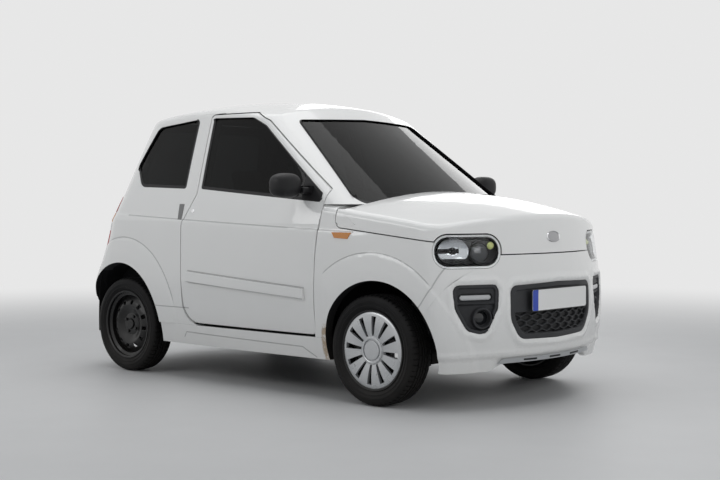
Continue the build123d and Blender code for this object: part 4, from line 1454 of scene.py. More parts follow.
@dataclass
class Headlamps:
    """Clear covers over black housings with a reflector, a projector and an indicator.

    Attributes:
        size: width, height and corner radius of the cover.
        lip, rim: how wide the painted lip is, and the black border with it.
        bowl: the reflector's place across and up, and its half width and height.
        bowl_form: how far its edge lies back, and its middle behind that.
        bulb: its share of the bowl and how far it stands out.
        projector, indicator: place across and up, and radius.
        bezel: width of the ring round the projector and how far it and the barrel lie back.
        lens_form: gap round the projector's lens, its depth and its bulge.
        indicator_form: the indicator's depth and bulge.
    """

    bay: Bay = Bay((1.322, 0.520, 0.742), (-0.70, 0.714, 0.0), (0.714, 0.70, 0.0))
    size: tuple[float, float, float] = (0.330, 0.156, 0.072)
    wall: float = 0.0022
    lip: float = 0.009
    # Half height of the gloss black band painted over the reflector as its dark reflection.
    dark_reflection_band: float = 0.011
    rim: float = 0.013
    bowl: tuple[float, float, float, float] = (0.066, 0.002, 0.074, 0.060)
    projector: tuple[float, float, float] = (-0.060, -0.006, 0.044)
    indicator: tuple[float, float, float] = (-0.116, 0.026, 0.018)
    lip_drop: float = 0.004
    floor_drop: float = 0.027
    floor_step: float = 0.008
    bowl_form: tuple[float, float] = (0.010, 0.034)
    bulb: tuple[float, float] = (0.30, 0.016)
    bezel: tuple[float, float, float] = (0.006, 0.006, 0.010)
    lens_form: tuple[float, float, float] = (0.004, 0.014, 0.008)
    indicator_form: tuple[float, float] = (0.016, 0.010)

    def outline(self, shrink: float) -> list[Flat]:
        """Return the lamp's outline, made smaller all round."""
        wide, high, radius = self.size
        half, up = wide / 2 - shrink, high / 2 - shrink
        corners = [(half, up), (-half, up), (-half, -up), (half, -up)]
        return rounded_outline([(u, v, radius - shrink) for u, v in corners], 12)

    def relief(self, u: float, v: float, inward: float) -> float:
        """Return the housing's depth behind the lamp's skin."""
        floor = -SKIN_GAP - self.lip_drop * smooth_rise(inward, 0.0, self.lip)
        floor -= self.floor_drop * smooth_rise(inward, self.rim, self.rim + self.floor_step)
        x, y, wide, high = self.bowl
        ratio = math.hypot((u - x) / wide, (v - y) / high)
        if ratio < 1.0 and inward > self.rim * 0.6:
            edge, depth = self.bowl_form
            share, height = self.bulb
            floor = -edge - depth * (1.0 - ratio**2)
            if ratio < share:
                floor += height * (1.0 - (ratio / share) ** 2)
        x, y, radius = self.projector
        far = math.hypot(u - x, v - y)
        ring_width, ring_depth, barrel_depth = self.bezel
        gap, depth, bulge = self.lens_form
        if far < radius + ring_width:
            floor = -ring_depth
        if far < radius:
            floor = -barrel_depth
        if far < radius - gap:
            floor = -depth + bulge * (1.0 - (far / radius) ** 2)
        x, y, radius = self.indicator
        far = math.hypot(u - x, v - y)
        if far < radius and inward > self.rim * 0.5:
            depth, bulge = self.indicator_form
            floor = -depth + bulge * (1.0 - (far / radius) ** 2)
        return floor

    def look_at(self, u: float, v: float, inward: float) -> int:
        """Return which finish a place of the housing has."""
        if inward < self.lip:
            return 4
        x, y, radius = self.indicator
        if math.hypot(u - x, v - y) < radius and inward > self.rim * 0.5:
            return 3
        x, y, radius = self.projector
        far = math.hypot(u - x, v - y)
        if far < radius - self.lens_form[0]:
            return 2
        if far < radius + self.bezel[0]:
            return 0
        x, y, wide, high = self.bowl
        ratio = math.hypot((u - x) / wide, (v - y) / high)
        # Painted reflection: gloss black stands in for the reflector in a band across its middle and below its lower
        # part, where the bowl mirrors dark surroundings.
        dark_reflection_band = abs(v - y) < self.dark_reflection_band and u > x - 0.030 or v < y - 3.2 * self.dark_reflection_band
        return 1 if self.bulb[0] < ratio < 1.0 and inward > self.rim * 0.9 and not dark_reflection_band else 0

    def build(self) -> None:
        """Make both headlamps."""
        for side, sign in SIDES:
            out = self.bay.turn(sign).col[2]
            cover = copy_node("headlamps")
            one_side(cover, sign)
            keep_faces(cover, lambda f: f.normal.dot(out) > 0.35)
            thicken(cover, self.wall)
            make_piece(f"lamp_cover_{side}", cover, Look.LENS, slot="lamp", nodes=["headlamps"])
            shape = Field(self.bay, self.outline(0.0012), ("headlamps",), 0.0022, 0.052)
            housing = shape.build(sign, self.relief, self.look_at)
            looks = (Look.GLOSS_BLACK, Look.REFLECTOR, Look.DARK_LENS, Look.INDICATOR, Look.PAINT)
            make_piece(f"lamp_housing_{side}", housing, looks, slot="black_plastic", weighted=False)


@dataclass
class FogLamps:
    """Grey pods in the bumper, each with a silver bar over a round lamp in a tube.

    Attributes:
        corners: across, up and radius of the outline's corners.
        bar: the bar's place across and up, half length and half height.
        bar_moat: how far the frame round the bar reaches, and its inner edge.
        shelf: the height below which the pod falls back.
        lamp: the lamp's place across and up, and radius.
        lamp_steps: width of the tube's flare, of its flat rim and of the wall inside.
        lamp_form: depth of the tube, and how far the glass bulges in it.
    """

    bay: Bay = Bay((1.362, 0.505, 0.478), (-0.60, 0.80, 0.0), (0.80, 0.60, 0.0))
    corners: tuple[tuple[float, float, float], ...] = (
        (-0.118, 0.112, 0.034),
        (0.118, 0.112, 0.034),
        (0.104, 0.0, 0.060),
        (0.044, -0.100, 0.070),
        (-0.050, -0.124, 0.050),
        (-0.112, 0.0, 0.060),
    )
    rim: float = 0.013
    bar: tuple[float, float, float, float] = (0.002, 0.053, 0.080, 0.0115)
    shelf: float = 0.024
    lamp: tuple[float, float, float] = (-0.034, -0.044, 0.048)
    bar_moat: tuple[float, float] = (0.013, 0.007)
    bar_depth: float = 0.0055
    upper_depth: float = 0.010
    lower_depth: tuple[float, float] = (0.020, 0.016)
    lamp_steps: tuple[float, float, float] = (0.006, 0.004, 0.016)
    lamp_form: tuple[float, float] = (0.032, 0.009)

    def box_distance(self, u: float, v: float) -> float:
        """Return how far a place lies outside the silver bar, negative inside it."""
        x, y, wide, high = self.bar
        across, up = abs(u - x) - (wide - high), abs(v - y)
        return math.hypot(max(across, 0.0), up) - high

    def relief(self, u: float, v: float, inward: float) -> float:
        """Return the pod's height over the bumper's skin."""
        edge = border_step(inward)
        lower = -self.lower_depth[0] - self.lower_depth[1] * smooth_rise(u, -0.05, 0.09)
        upper = -self.upper_depth
        floor = upper + (lower - upper) * smooth_rise(v, self.shelf, self.shelf - 0.008)
        near, (reach, inner) = self.box_distance(u, v), self.bar_moat
        if near < reach:
            floor = -self.bar_depth - 0.004 * smooth_rise(near, 0.008, reach)
        if near < inner:
            floor = -self.bar_depth - 0.009 * smooth_rise(near, inner, 0.005)
        if near < 0.0:
            floor = -0.008 + 0.003 * smooth_rise(-near, 0.0, 0.006)
        height = edge + floor * smooth_rise(inward, self.rim, self.rim + 0.006)
        x, y, radius = self.lamp
        flare, lip, wall = self.lamp_steps
        depth, bulge = self.lamp_form
        far = math.hypot(u - x, v - y)
        if far < radius + flare:
            height = min(-SKIN_GAP, -SKIN_GAP + (floor + SKIN_GAP) * smooth_rise(far, radius, radius + flare))
        if far < radius - lip:
            height = -SKIN_GAP - depth * smooth_rise(far, radius - 0.005, radius - 0.014)
        if far < radius - wall:
            height = -depth - SKIN_GAP + bulge * (1.0 - (far / (radius - wall)) ** 2)
        return height

    def look_at(self, u: float, v: float, _inward: float) -> int:
        """Return which finish a place of the pod has."""
        x, y, radius = self.lamp
        if math.hypot(u - x, v - y) < radius - self.lamp_steps[2]:
            return 2
        return 1 if self.box_distance(u, v) < 0.0 else 0

    def build(self) -> None:
        """Make both pods."""
        for side, sign in SIDES:
            shape = Field(self.bay, rounded_outline(self.corners), ("fog_lamps",), 0.0022, 0.034)
            pod = shape.build(sign, self.relief, self.look_at)
            looks = (Look.GRAIN, Look.SKID, Look.DARK_LENS)
            make_piece(
                f"fog_pod_{side}", pod, looks, slot="grey_plastic", nodes=["fog_lamps"], weighted=False
            )


@dataclass
class Grille:
    """The framed opening round the front plate, with a honeycomb below it.

    Attributes:
        corners: across, up and radius of the outline's corners.
        rim: width of the frame.
        mesh_top: the height below which the honeycomb starts.
        cell: width of its cells.
        rows: height of each of its wavy bars.
        swing: how far a bar waves up and down.
        bar_edges: how far from a bar's middle the hole starts, and the bar's top ends.
        hole_depth, bar_height: depth of the holes, and how far the bars stand out of them.
        dome: the nose's height over the plane, and its fall across, upwards and downwards.
    """

    bay: Bay = Bay((1.400, 0.0, 0.460), (0.0, 1.0, 0.0), (1.0, 0.0, 0.0))
    corners: tuple[tuple[float, float, float], ...] = (
        (0.0, -0.142, 0.300),
        (0.268, -0.134, 0.075),
        (0.330, -0.040, 0.110),
        (0.330, 0.120, 0.040),
        (0.0, 0.130, 0.300),
        (-0.330, 0.120, 0.040),
        (-0.330, -0.040, 0.110),
        (-0.268, -0.134, 0.075),
    )
    rim: float = 0.022
    mesh_top: float = -0.006
    cell: float = 0.074
    rows: tuple[float, ...] = (-0.022, -0.048, -0.074, -0.100)
    swing: float = 0.0065
    bar_edges: tuple[float, float] = (0.0050, 0.0026)
    hole_depth: float = 0.018
    bar_height: float = 0.011
    dome: tuple[float, float, float, float] = (0.0775, 0.375, 0.40, 0.45)

    def bars(self, u: float, v: float) -> float:
        """Return how far a place lies from the nearest bar of the honeycomb."""
        best = 1.0
        for index, row in enumerate(self.rows):
            phase = (u / self.cell + 0.5 * (index % 2)) % 1.0
            wave = self.swing * (abs(phase - 0.5) * 4.0 - 1.0)
            best = min(best, abs(v - row - wave))
            if index and row < v < self.rows[index - 1] and abs(phase) < 0.5:
                best = min(best, phase * self.cell)
            elif index and row < v < self.rows[index - 1]:
                best = min(best, (1.0 - phase) * self.cell)
        return best

    def relief(self, u: float, v: float, inward: float) -> float:
        """Return the grille's height over the nose's skin."""
        height = border_step(inward) - 0.005 * smooth_rise(inward, self.rim, self.rim + 0.005)
        below = smooth_rise(v, self.mesh_top, self.mesh_top - 0.004)
        inside = smooth_rise(inward, self.rim + 0.004, self.rim + 0.010)
        hole = -self.hole_depth + self.bar_height * smooth_rise(self.bars(u, v), *self.bar_edges)
        return height + below * inside * hole

    def look_at(self, u: float, v: float, inward: float) -> int:
        """Return which finish a place of the grille has."""
        deep = v < self.mesh_top - 0.003 and inward > self.rim + 0.007
        return 1 if deep and self.bars(u, v) > 0.0042 else 0

    def skin(self, u: float, v: float) -> float:
        """Return the height of the nose's skin over the plane."""
        middle, across, above, below = self.dome
        return middle - across * u * u - (above if v > 0.0 else below) * v * v

    def build(self) -> None:
        """Make the grille."""
        shape = Field(self.bay, rounded_outline(self.corners), (), 0.0022, 0.030, self.skin)
        mesh = shape.build(1.0, self.relief, self.look_at)
        looks = (Look.GRAIN, Look.TRIM)
        make_piece("grille_frame", mesh, looks, slot="grey_plastic", nodes=["grille"], weighted=False)


# ------------------------------------------------------------------ nose trims
def tube(points: Sequence[Vector], radius: float) -> Mesh:
    """Return a round bar along a smooth line through some points."""
    curve = bpy.data.curves.new("line", "CURVE")
    curve.dimensions, curve.bevel_depth, curve.bevel_resolution = "3D", radius, 3
    curve.use_fill_caps = True
    spline = curve.splines.new("POLY")
    spline.points.add(len(points) - 1)
    for point, target in zip(spline.points, points):
        point.co = (*target, 1.0)
    holder = bpy.data.objects.new("line", curve)
    bpy.context.collection.objects.link(holder)
    bpy.context.view_layer.update()
    data = bpy.data.meshes.new_from_object(holder.evaluated_get(bpy.context.evaluated_depsgraph_get()))
    mesh = bmesh.new()
    mesh.from_mesh(data)
    bpy.data.objects.remove(holder)
    bpy.data.curves.remove(curve)
    bpy.data.meshes.remove(data)
    bmesh.ops.remove_doubles(mesh, verts=mesh.verts, dist=MERGE)
    outward(mesh)
    return mesh


@dataclass
class NoseTrims:
    """The blank plates and badge, and the skid strip."""

    plate_ends: tuple[tuple[float, float, float], ...] = ((1.485, 1.0, 0.507), (-1.485, -1.0, 0.440))
    plate_half: float = 0.226
    plate_high: float = 0.098
    blue_width: float = 0.046
    badge: tuple[float, float, float, float] = (0.0, 0.803, 0.057, 0.0275)
    badge_field: float = 0.82
    badge_section: tuple[tuple[float, float], ...] = (
        (1.0, -0.004), (1.0, 0.002), (0.93, 0.0048), (0.84, 0.0034),
        (0.80, 0.0022), (0.60, 0.0034), (0.30, 0.0042), (0.0, 0.0044),
    )

    def plates(self) -> None:
        """Make two blank plates with a raised rim and a plain blue end."""
        parts = []
        for x, sign, z in self.plate_ends:
            plate = cube((x - sign * 0.0012, 0.0, z), (0.0020, 2 * self.plate_half, self.plate_high))
            round_corners(plate, 0.010, 5)
            faces = [f for f in plate.faces if f.normal.x * sign > 0.9]
            bmesh.ops.inset_region(plate, faces=faces, thickness=0.0030, depth=0.0, use_even_offset=True)
            bmesh.ops.inset_region(plate, faces=faces, thickness=0.0010, depth=-0.0008, use_even_offset=True)
            edge_y = -sign * (self.plate_half - self.blue_width)
            whole = [*plate.verts, *plate.edges, *plate.faces]
            bmesh.ops.bisect_plane(plate, geom=whole, plane_co=(0, edge_y, 0), plane_no=(0, 1, 0))
            for face in plate.faces:
                if (face.calc_center_median().y - edge_y) * -sign > 0.0 and face.normal.x * sign > 0.5:
                    face.material_index = 1
            parts.append(plate)
        backs = [
            rounded(cube((1.4800, 0.0, 0.507), (0.0044, 0.462, 0.108)), 0.0015),
            rounded(cube((-1.4812, 0.0, 0.440), (0.0020, 0.462, 0.108)), 0.0006),
        ]
        looks = (Look.PLATE, Look.BLUE)
        make_piece("blank_plates", joined(parts), looks, slot="plate", nodes=["number_plates"])
        make_piece("plate_backs", joined(backs), Look.TRIM)

    def badge_piece(self) -> None:
        """Make the blank oval badge on the bonnet."""
        y, z, half_wide, half_high = self.badge
        place, normal = Skin("bonnet").hit((1.7, y, z), (-1.0, 0.0, 0.0))
        mesh = turned([(share * half_wide, height) for share, height in self.badge_section], 64, False)
        bmesh.ops.scale(mesh, vec=(1.0, 1.0, half_high / half_wide), verts=mesh.verts)
        turn = Matrix.Rotation(-math.pi / 2, 3, "Z")
        tilt = Vector((1.0, 0.0, 0.0)).rotation_difference(normal).to_matrix()
        for face in mesh.faces:
            if max(math.hypot(v.co.x / half_wide, v.co.y / half_high) for v in face.verts) < self.badge_field:
                face.material_index = 1
        looks = (Look.CHROME, Look.SMOKE)
        make_piece("blank_badge", moved(mesh, tuple(place), tilt @ turn), looks, "bonnet", "silver_plastic")

    def skid(self) -> None:
        """Lay the silver strip along the bumper's lower lip, with its three dark slots."""
        mesh = copy_node("front_bumper")
        keep_faces(mesh, lambda f: f.normal.x > 0.3 and f.calc_center_median().x > 1.2)
        for place, normal in (
            ((0, 0, 0.239), (0, 0, 1)),
            ((0, 0, 0.217), (0, 0, -1)),
            ((0, 0.36, 0.239), (0, 1, 0.9)),
            ((0, -0.36, 0.239), (0, -1, 0.9)),
        ):
            cut_away(mesh, place, normal)
        thicken(mesh, -0.004)
        make_piece("skid_strip", rounded(mesh, 0.0012, 2, 50.0), Look.SKID, slot="silver_plastic")
        skin = Skin("front_bumper")
        slots = []
        for y in (-0.185, 0.0, 0.185):
            place, normal = skin.hit((1.7, y, 0.228), (-1.0, 0.0, 0.0))
            turn = Vector((1.0, 0.0, 0.0)).rotation_difference(normal).to_matrix()
            slot = rounded(cube((0.003, 0.0, 0.0), (0.006, 0.088, 0.009)), 0.0018)
            slots.append(moved(slot, tuple(place), turn))
        make_piece("skid_slots", joined(slots), Look.TRIM)

    def build(self) -> None:
        """Make every trim of the nose."""
        self.plates()
        self.badge_piece()
        self.skid()


# ------------------------------------------------------------------ side trims
def skin_patch(
    node: str, sign: float, cuts: Sequence[tuple[Point, Point]], height: float, edge: float
) -> Mesh:
    """Return a raised pad that follows a panel's outer face.

    Args:
        node: the panel.
        sign: +1 for the car's left, -1 for its right.
        cuts: planes whose outer side is dropped, given for the left.
        height: how far the pad stands out.
        edge: radius of its edges.

    Returns:
        The closed pad.
    """
    mesh = copy_node(node)
    keep_faces(mesh, lambda f: f.normal.y * sign > 0.5)
    for (x, y, z), (i, j, k) in cuts:
        cut_away(mesh, (x, sign * y, z), (i, sign * j, k))
    thicken(mesh, -height)
    return rounded(mesh, edge, 2, 50.0)


@dataclass
class SideTrims:
    """Rub strips, side repeaters, grey pads painted as the shade in the handle pockets, door locks and the mirrors."""

    mirror_half: Point = (0.056, 0.085, 0.061)
    mirror_square: float = 0.72
    mirror_back: float = -0.040

    def strip_cuts(self) -> list[tuple[Point, Point]]:
        """Return the planes round the door's rub strip."""
        slope = -0.053 / 0.877
        return [
            ((-0.405, 0, 0.5965), (-slope, 0, 1)),
            ((-0.405, 0, 0.5400), (slope, 0, -1)),
            ((-0.403, 0, 0.566), (-1, 0, 0.10)),
            ((0.472, 0, 0.515), (1, 0, 0.10)),
        ]

    def repeater_cuts(self) -> list[tuple[Point, Point]]:
        """Return the planes round the side repeater."""
        return [
            ((0.66, 0, 0.8225), (0, 0, 1)),
            ((0.66, 0, 0.7960), (-0.05, 0, -1)),
            ((0.648, 0, 0.823), (-1, 0, -0.7)),
            ((0.768, 0, 0.823), (1, 0, -0.6)),
        ]

    def pocket_shade_cuts(self) -> list[tuple[Point, Point]]:
        """Return the planes round the grey pad painted as the shade in the handle's pocket."""
        return [
            ((-0.467, 0, 0.910), (1, 0, 0)),
            ((-0.503, 0, 0.910), (-1, 0, -0.12)),
            ((0, 0, 0.955), (0, 0, 1)),
            ((0, 0, 0.868), (0, 0, -1)),
        ]

    def build(self) -> None:
        """Make the trims of both sides."""
        for side, sign in SIDES:
            strip = skin_patch(f"door_{side}", sign, self.strip_cuts(), 0.014, 0.0065)
            make_piece(f"rub_strip_{side}", strip, Look.PAINT, f"door_{side}", "white_paint")
            lens = skin_patch(f"front_wing_{side}", sign, self.repeater_cuts(), 0.009, 0.0025)
            make_piece(f"side_repeater_{side}", lens, Look.AMBER, BODY, "lamp")
            # Painted shade: a thin raised grey pad stands in for the shadow in the white handle recess.
            handle = skin_patch(f"rear_quarter_{side}", sign, self.pocket_shade_cuts(), 0.0025, 0.0010)
            make_piece(f"handle_pocket_{side}", handle, Look.POCKET_SHADE, BODY, "grey_plastic")
            place, normal = Skin(f"door_{side}").hit((-0.384, sign * 1.2, 0.918), (0.0, -sign, 0.0))
            lock = rounded(disc((0, 0, 0), 0.0115, 0.006, Vector(normal), 28), 0.0012, 2)
            moved(lock, tuple(place))
            make_piece(f"door_lock_{side}", lock, Look.CHROME, f"door_{side}", "silver_plastic")
            self.mirror(side, sign)

    def mirror(self, side: str, sign: float) -> None:
        """Make one door mirror on its sail."""
        body = f"door_{side}"
        shell = ball((0.0, 0.0, 0.0), 1.0)
        for vert in shell.verts:
            for axis, half in enumerate(self.mirror_half):
                vert.co[axis] = half * math.copysign(abs(vert.co[axis]) ** self.mirror_square, vert.co[axis])
        cut_away(shell, (self.mirror_back, 0.0, 0.0), (-1.0, 0.0, 0.0))
        bmesh.ops.contextual_create(shell, geom=[e for e in shell.edges if e.is_boundary])
        outward(shell)
        shell.normal_update()
        back = [f for f in shell.faces if f.normal.x < -0.98]
        bmesh.ops.inset_region(shell, faces=back, thickness=0.004, depth=0.0, use_even_offset=True)
        bmesh.ops.inset_region(shell, faces=back, thickness=0.002, depth=-0.009, use_even_offset=True)
        place = (0.412, 0.800, 1.050)
        glass = cube((self.mirror_back + 0.0045, 0.0, 0.0), (0.003, 0.112, 0.078))
        round_corners(glass, 0.030, 8)
        stalk = rounded(cube((0.036, -0.110, -0.024), (0.058, 0.090, 0.034)), 0.010, 4)
        case = joined([moved(shell, place), moved(stalk, place)])
        for name, mesh, look, nodes in (
            ("mirror_shell", case, Look.TRIM, [f"mirror_{side}"]),
            ("mirror_glass", moved(glass, place), Look.MIRROR, []),
        ):
            make_piece(f"{name}_{side}", on_side(mesh, sign), look, body, "black_plastic", nodes)
        sail = copy_node(f"mirror_{side}")
        cut_away(sail, (0, sign * 0.6935, 0), (0, sign, 0))
        make_piece(f"mirror_sail_{side}", sail, Look.TRIM, body, "black_plastic")


# ------------------------------------------------------------------ tail
@dataclass
class Tail:
    """Rear lamps in three lenses over a dark base, and the tailgate's handle.

    Attributes:
        lenses: each lens's name, lowest and highest place, and finish.
        lens_height: how far a lens stands out of its base.
    """

    lenses: tuple[tuple[str, float, float, Look], ...] = (
        ("tail", 0.700, 0.800, Look.RED),
        ("reversing", 0.804, 0.846, Look.PALE_LAMP),
        ("indicator", 0.850, 0.900, Look.AMBER),
        ("stop", 0.904, 1.010, Look.RED),
    )
    lens_height: float = 0.004

    def build(self) -> None:
        """Make the pieces of the tail."""
        for side, sign in SIDES:
            base = copy_node("rear_lamps")
            one_side(base, sign)
            make_piece(f"rear_lamp_base_{side}", base, Look.TRIM, slot="red_lamp", nodes=["rear_lamps"])
            for name, low, high, look in self.lenses:
                lens = copy_node("rear_lamps")
                one_side(lens, sign)
                keep_faces(lens, lambda f: f.normal.dot(Vector((-0.75, sign * 0.6, 0.1))) > 0.3)
                for place, normal in (((0, 0, low), (0, 0, -1)), ((0, 0, high), (0, 0, 1))):
                    cut_away(lens, place, normal)
                thicken(lens, -self.lens_height)
                make_piece(f"{name}_lens_{side}", rounded(lens, 0.0012, 2, 50.0), look, slot="red_lamp")
        skin = Skin("tailgate", "rear_glass")
        place, normal = skin.hit((-2.0, 0.0, 0.80), (1.0, 0.0, 0.0))
        turn = Vector((-1.0, 0.0, 0.0)).rotation_difference(normal).to_matrix()
        handle = rounded(cube((-0.006, 0.0, 0.0), (0.020, 0.190, 0.030)), 0.006)
        make_piece("tailgate_handle", moved(handle, tuple(place), turn), Look.TRIM, "tailgate")


@dataclass
class Wipers:
    """The wiper arm and blade that rest low on the windscreen."""

    def build(self) -> None:
        """Lay the arm and blade just off the glass."""
        skin = Skin("windscreen")

        def on_glass(y: float, z: float, lift: float) -> Vector:
            """Return a point above the glass."""
            place, normal = skin.hit((1.6, y, z), (-1.0, 0.0, 0.0))
            return place + normal * (lift if normal.x > 0.0 else -lift)

        blade = [
            on_glass(-0.36 + 0.56 * step / 20, 0.985 + 0.012 * math.sin(math.pi * step / 20), 0.010)
            for step in range(21)
        ]
        arm = [on_glass(0.06 - 0.16 * step / 10, 0.962 + 0.032 * step / 10, 0.016) for step in range(11)]
        rubber = [point - Vector((0.004, 0.0, 0.006)) for point in blade]
        meshes = [tube(blade, 0.0045), tube(arm, 0.0055), tube(rubber, 0.0028)]
        hub = rounded(disc(tuple(arm[0]), 0.012, 0.020, Vector((0.6, 0.0, 0.8))), 0.003)
        make_piece("wiper_arm", joined([*meshes, hub]), Look.TRIM, nodes=["wiper"])


# ------------------------------------------------------------------ cabin
@dataclass
class Seats:
    """Two seats: cushion, backrest and head restraint, puffed by a cloth pass."""

    middle_y: float = 0.290
    cap: float = 0.009

    def forms(self) -> dict[str, tuple[Point, Point, float]]:
        """Return each pad's centre, size and lean in degrees."""
        return {
            "cushion": ((-0.060, self.middle_y, 0.418), (0.440, 0.405, 0.125), -5.0),
            "backrest": ((-0.335, self.middle_y, 0.725), (0.088, 0.400, 0.520), -14.5),
            "headrest": ((-0.412, self.middle_y, 1.072), (0.062, 0.205, 0.130), -12.0),
        }

    def pad(self, name: str, centre: Point, size: Point, lean: float) -> Mesh:
        """Shape one pad: rounded, crowned and pulled in between its corners."""
        mesh = cube((0, 0, 0), size)
        edge = min(size) * 0.36
        mesh = rounded(mesh, edge, 5, 60.0)
        long_edges = [edge for edge in mesh.edges if edge.calc_length() > 0.03]
        bmesh.ops.subdivide_edges(mesh, edges=long_edges, cuts=6, use_grid_fill=True)
        thin, wide = (2, 0) if name == "cushion" else (0, 2)
        for vert in mesh.verts:
            u = vert.co.y / (size[1] / 2)
            v = vert.co[wide] / (size[wide] / 2)
            if vert.co[thin] > 0.0 and name != "headrest":
                bolster = 0.012 * smooth_rise(abs(u), 0.60, 0.86)
                channel = -0.005 * max(0.0, 1.0 - abs(abs(u) - 0.58) / 0.05)
                seam = -0.004 * max(0.0, 1.0 - abs(v + 0.1) / 0.04)
                vert.co[thin] += bolster + channel + seam
            vert.co.y *= 1.0 - 0.035 * (1.0 - v * v)
        return moved(mesh, centre, Matrix.Rotation(math.radians(lean), 3, "Y"))

    def puff(self, piece: bpy.types.Object) -> None:
        """Run a short cloth pass with pressure and keep its result within the cap."""
        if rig.quick():
            return
        rest = [vert.co.copy() for vert in piece.data.vertices]
        cloth = piece.modifiers.new("cloth", "CLOTH")
        cloth.settings.use_pressure = True
        cloth.settings.uniform_pressure_force = 4.0
        cloth.settings.effector_weights.gravity = 0.0
        cloth.settings.quality = 4
        cloth.settings.tension_stiffness = 40.0
        cloth.settings.compression_stiffness = 40.0
        cloth.settings.bending_stiffness = 6.0
        scene = bpy.context.scene
        cloth.point_cache.frame_start, cloth.point_cache.frame_end = 1, 12
        for step in range(1, 13):
            scene.frame_set(step)
        evaluated = piece.evaluated_get(bpy.context.evaluated_depsgraph_get())
        moved_to = [vert.co.copy() for vert in evaluated.data.vertices]
        piece.modifiers.remove(cloth)
        scene.frame_set(1)
        for vert, start, end in zip(piece.data.vertices, rest, moved_to):
            shift = end - start
            if shift.length > self.cap:
                shift *= self.cap / shift.length
            vert.co = start + shift

    def build(self) -> None:
        """Make both seats."""
        first = True
        for side, sign in SIDES:
            for name, (centre, size, lean) in self.forms().items():
                piece = make_piece(
                    f"seat_{name}_{side}",
                    on_side(self.pad(name, centre, size, lean), sign),
                    Look.CLOTH,
                    slot="seat_cloth",
                    nodes=["seats"] if first else (),
                    crease=60.0,
                    weighted=False,
                )
                first = False
                self.puff(piece)
                smooth = piece.modifiers.new("smooth", "SUBSURF")
                smooth.levels = smooth.render_levels = 1
                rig.padded(piece, fill=0.8)
            y = sign * self.middle_y
            frames = [rounded(cube((-0.060, y, 0.312), (0.36, 0.36, 0.070)), 0.008)]
            for aside in (-0.05, 0.05):
                frames.append(disc((-0.372, y + aside, 1.0), 0.006, 0.10, Vector((-0.22, 0.0, 1.0)), 16))
            make_piece(f"seat_base_{side}", joined(frames), Look.TRIM, slot="black_plastic")


@dataclass
class Controls:
    """The dashboard's fittings and the steering wheel."""

    def build(self) -> None:
        """Make the steering wheel, binnacle, vents and centre panel."""
        centre = Vector((0.3120, 0.290, 0.790))
        axis = Vector((-math.cos(math.radians(24)), 0.0, math.sin(math.radians(24))))
        centre = centre + axis * 0.130
        turn = axis.to_track_quat("Z", "Y").to_matrix()
        wheel = [ring(0.172, 0.0125)]
        for angle in (math.radians(90), math.radians(210), math.radians(330)):
            spoke = rounded(cube((0.105, 0.0, -0.006), (0.135, 0.030, 0.012)), 0.004)
            bmesh.ops.transform(spoke, matrix=Matrix.Rotation(angle, 4, "Z"), verts=spoke.verts)
            wheel.append(spoke)
        wheel.append(rounded(disc((0, 0, -0.004), 0.056, 0.034, Vector((0, 0, 1)), 40, 0.86), 0.008, 4))
        wheel.append(rounded(disc((0, 0, -0.070), 0.026, 0.100, Vector((0, 0, 1)), 28), 0.004))
        rim = moved(joined(wheel), tuple(centre), turn)
        make_piece("steering_rim", rim, Look.TRIM, nodes=["steering_wheel"], weighted=False)
        dash = rounded(copy_node("dashboard"), 0.016, 4, 25.0)
        make_piece("dash_moulding", dash, Look.LINING, slot="grey_plastic", nodes=["dashboard"])
        fittings = []
        for y in (-0.49, -0.11, 0.11, 0.49):
            vent = disc((0.314, y, 0.800), 0.038, 0.012, Vector((-1.0, 0.0, 0.25)), 32)
            fittings.append(rounded(vent, 0.003, 2))
            for slat in range(-2, 3):
                blade = cube((0.306, y, 0.800 + slat * 0.012), (0.006, 0.056, 0.003))
                fittings.append(rounded(blade, 0.0008, 2))
        fittings.append(rounded(cube((0.322, 0.0, 0.770), (0.030, 0.150, 0.090)), 0.008))
        fittings.append(rounded(cube((0.395, 0.290, 0.892), (0.120, 0.250, 0.050)), 0.018, 4))
        make_piece("dash_fittings", joined(fittings), Look.TRIM)


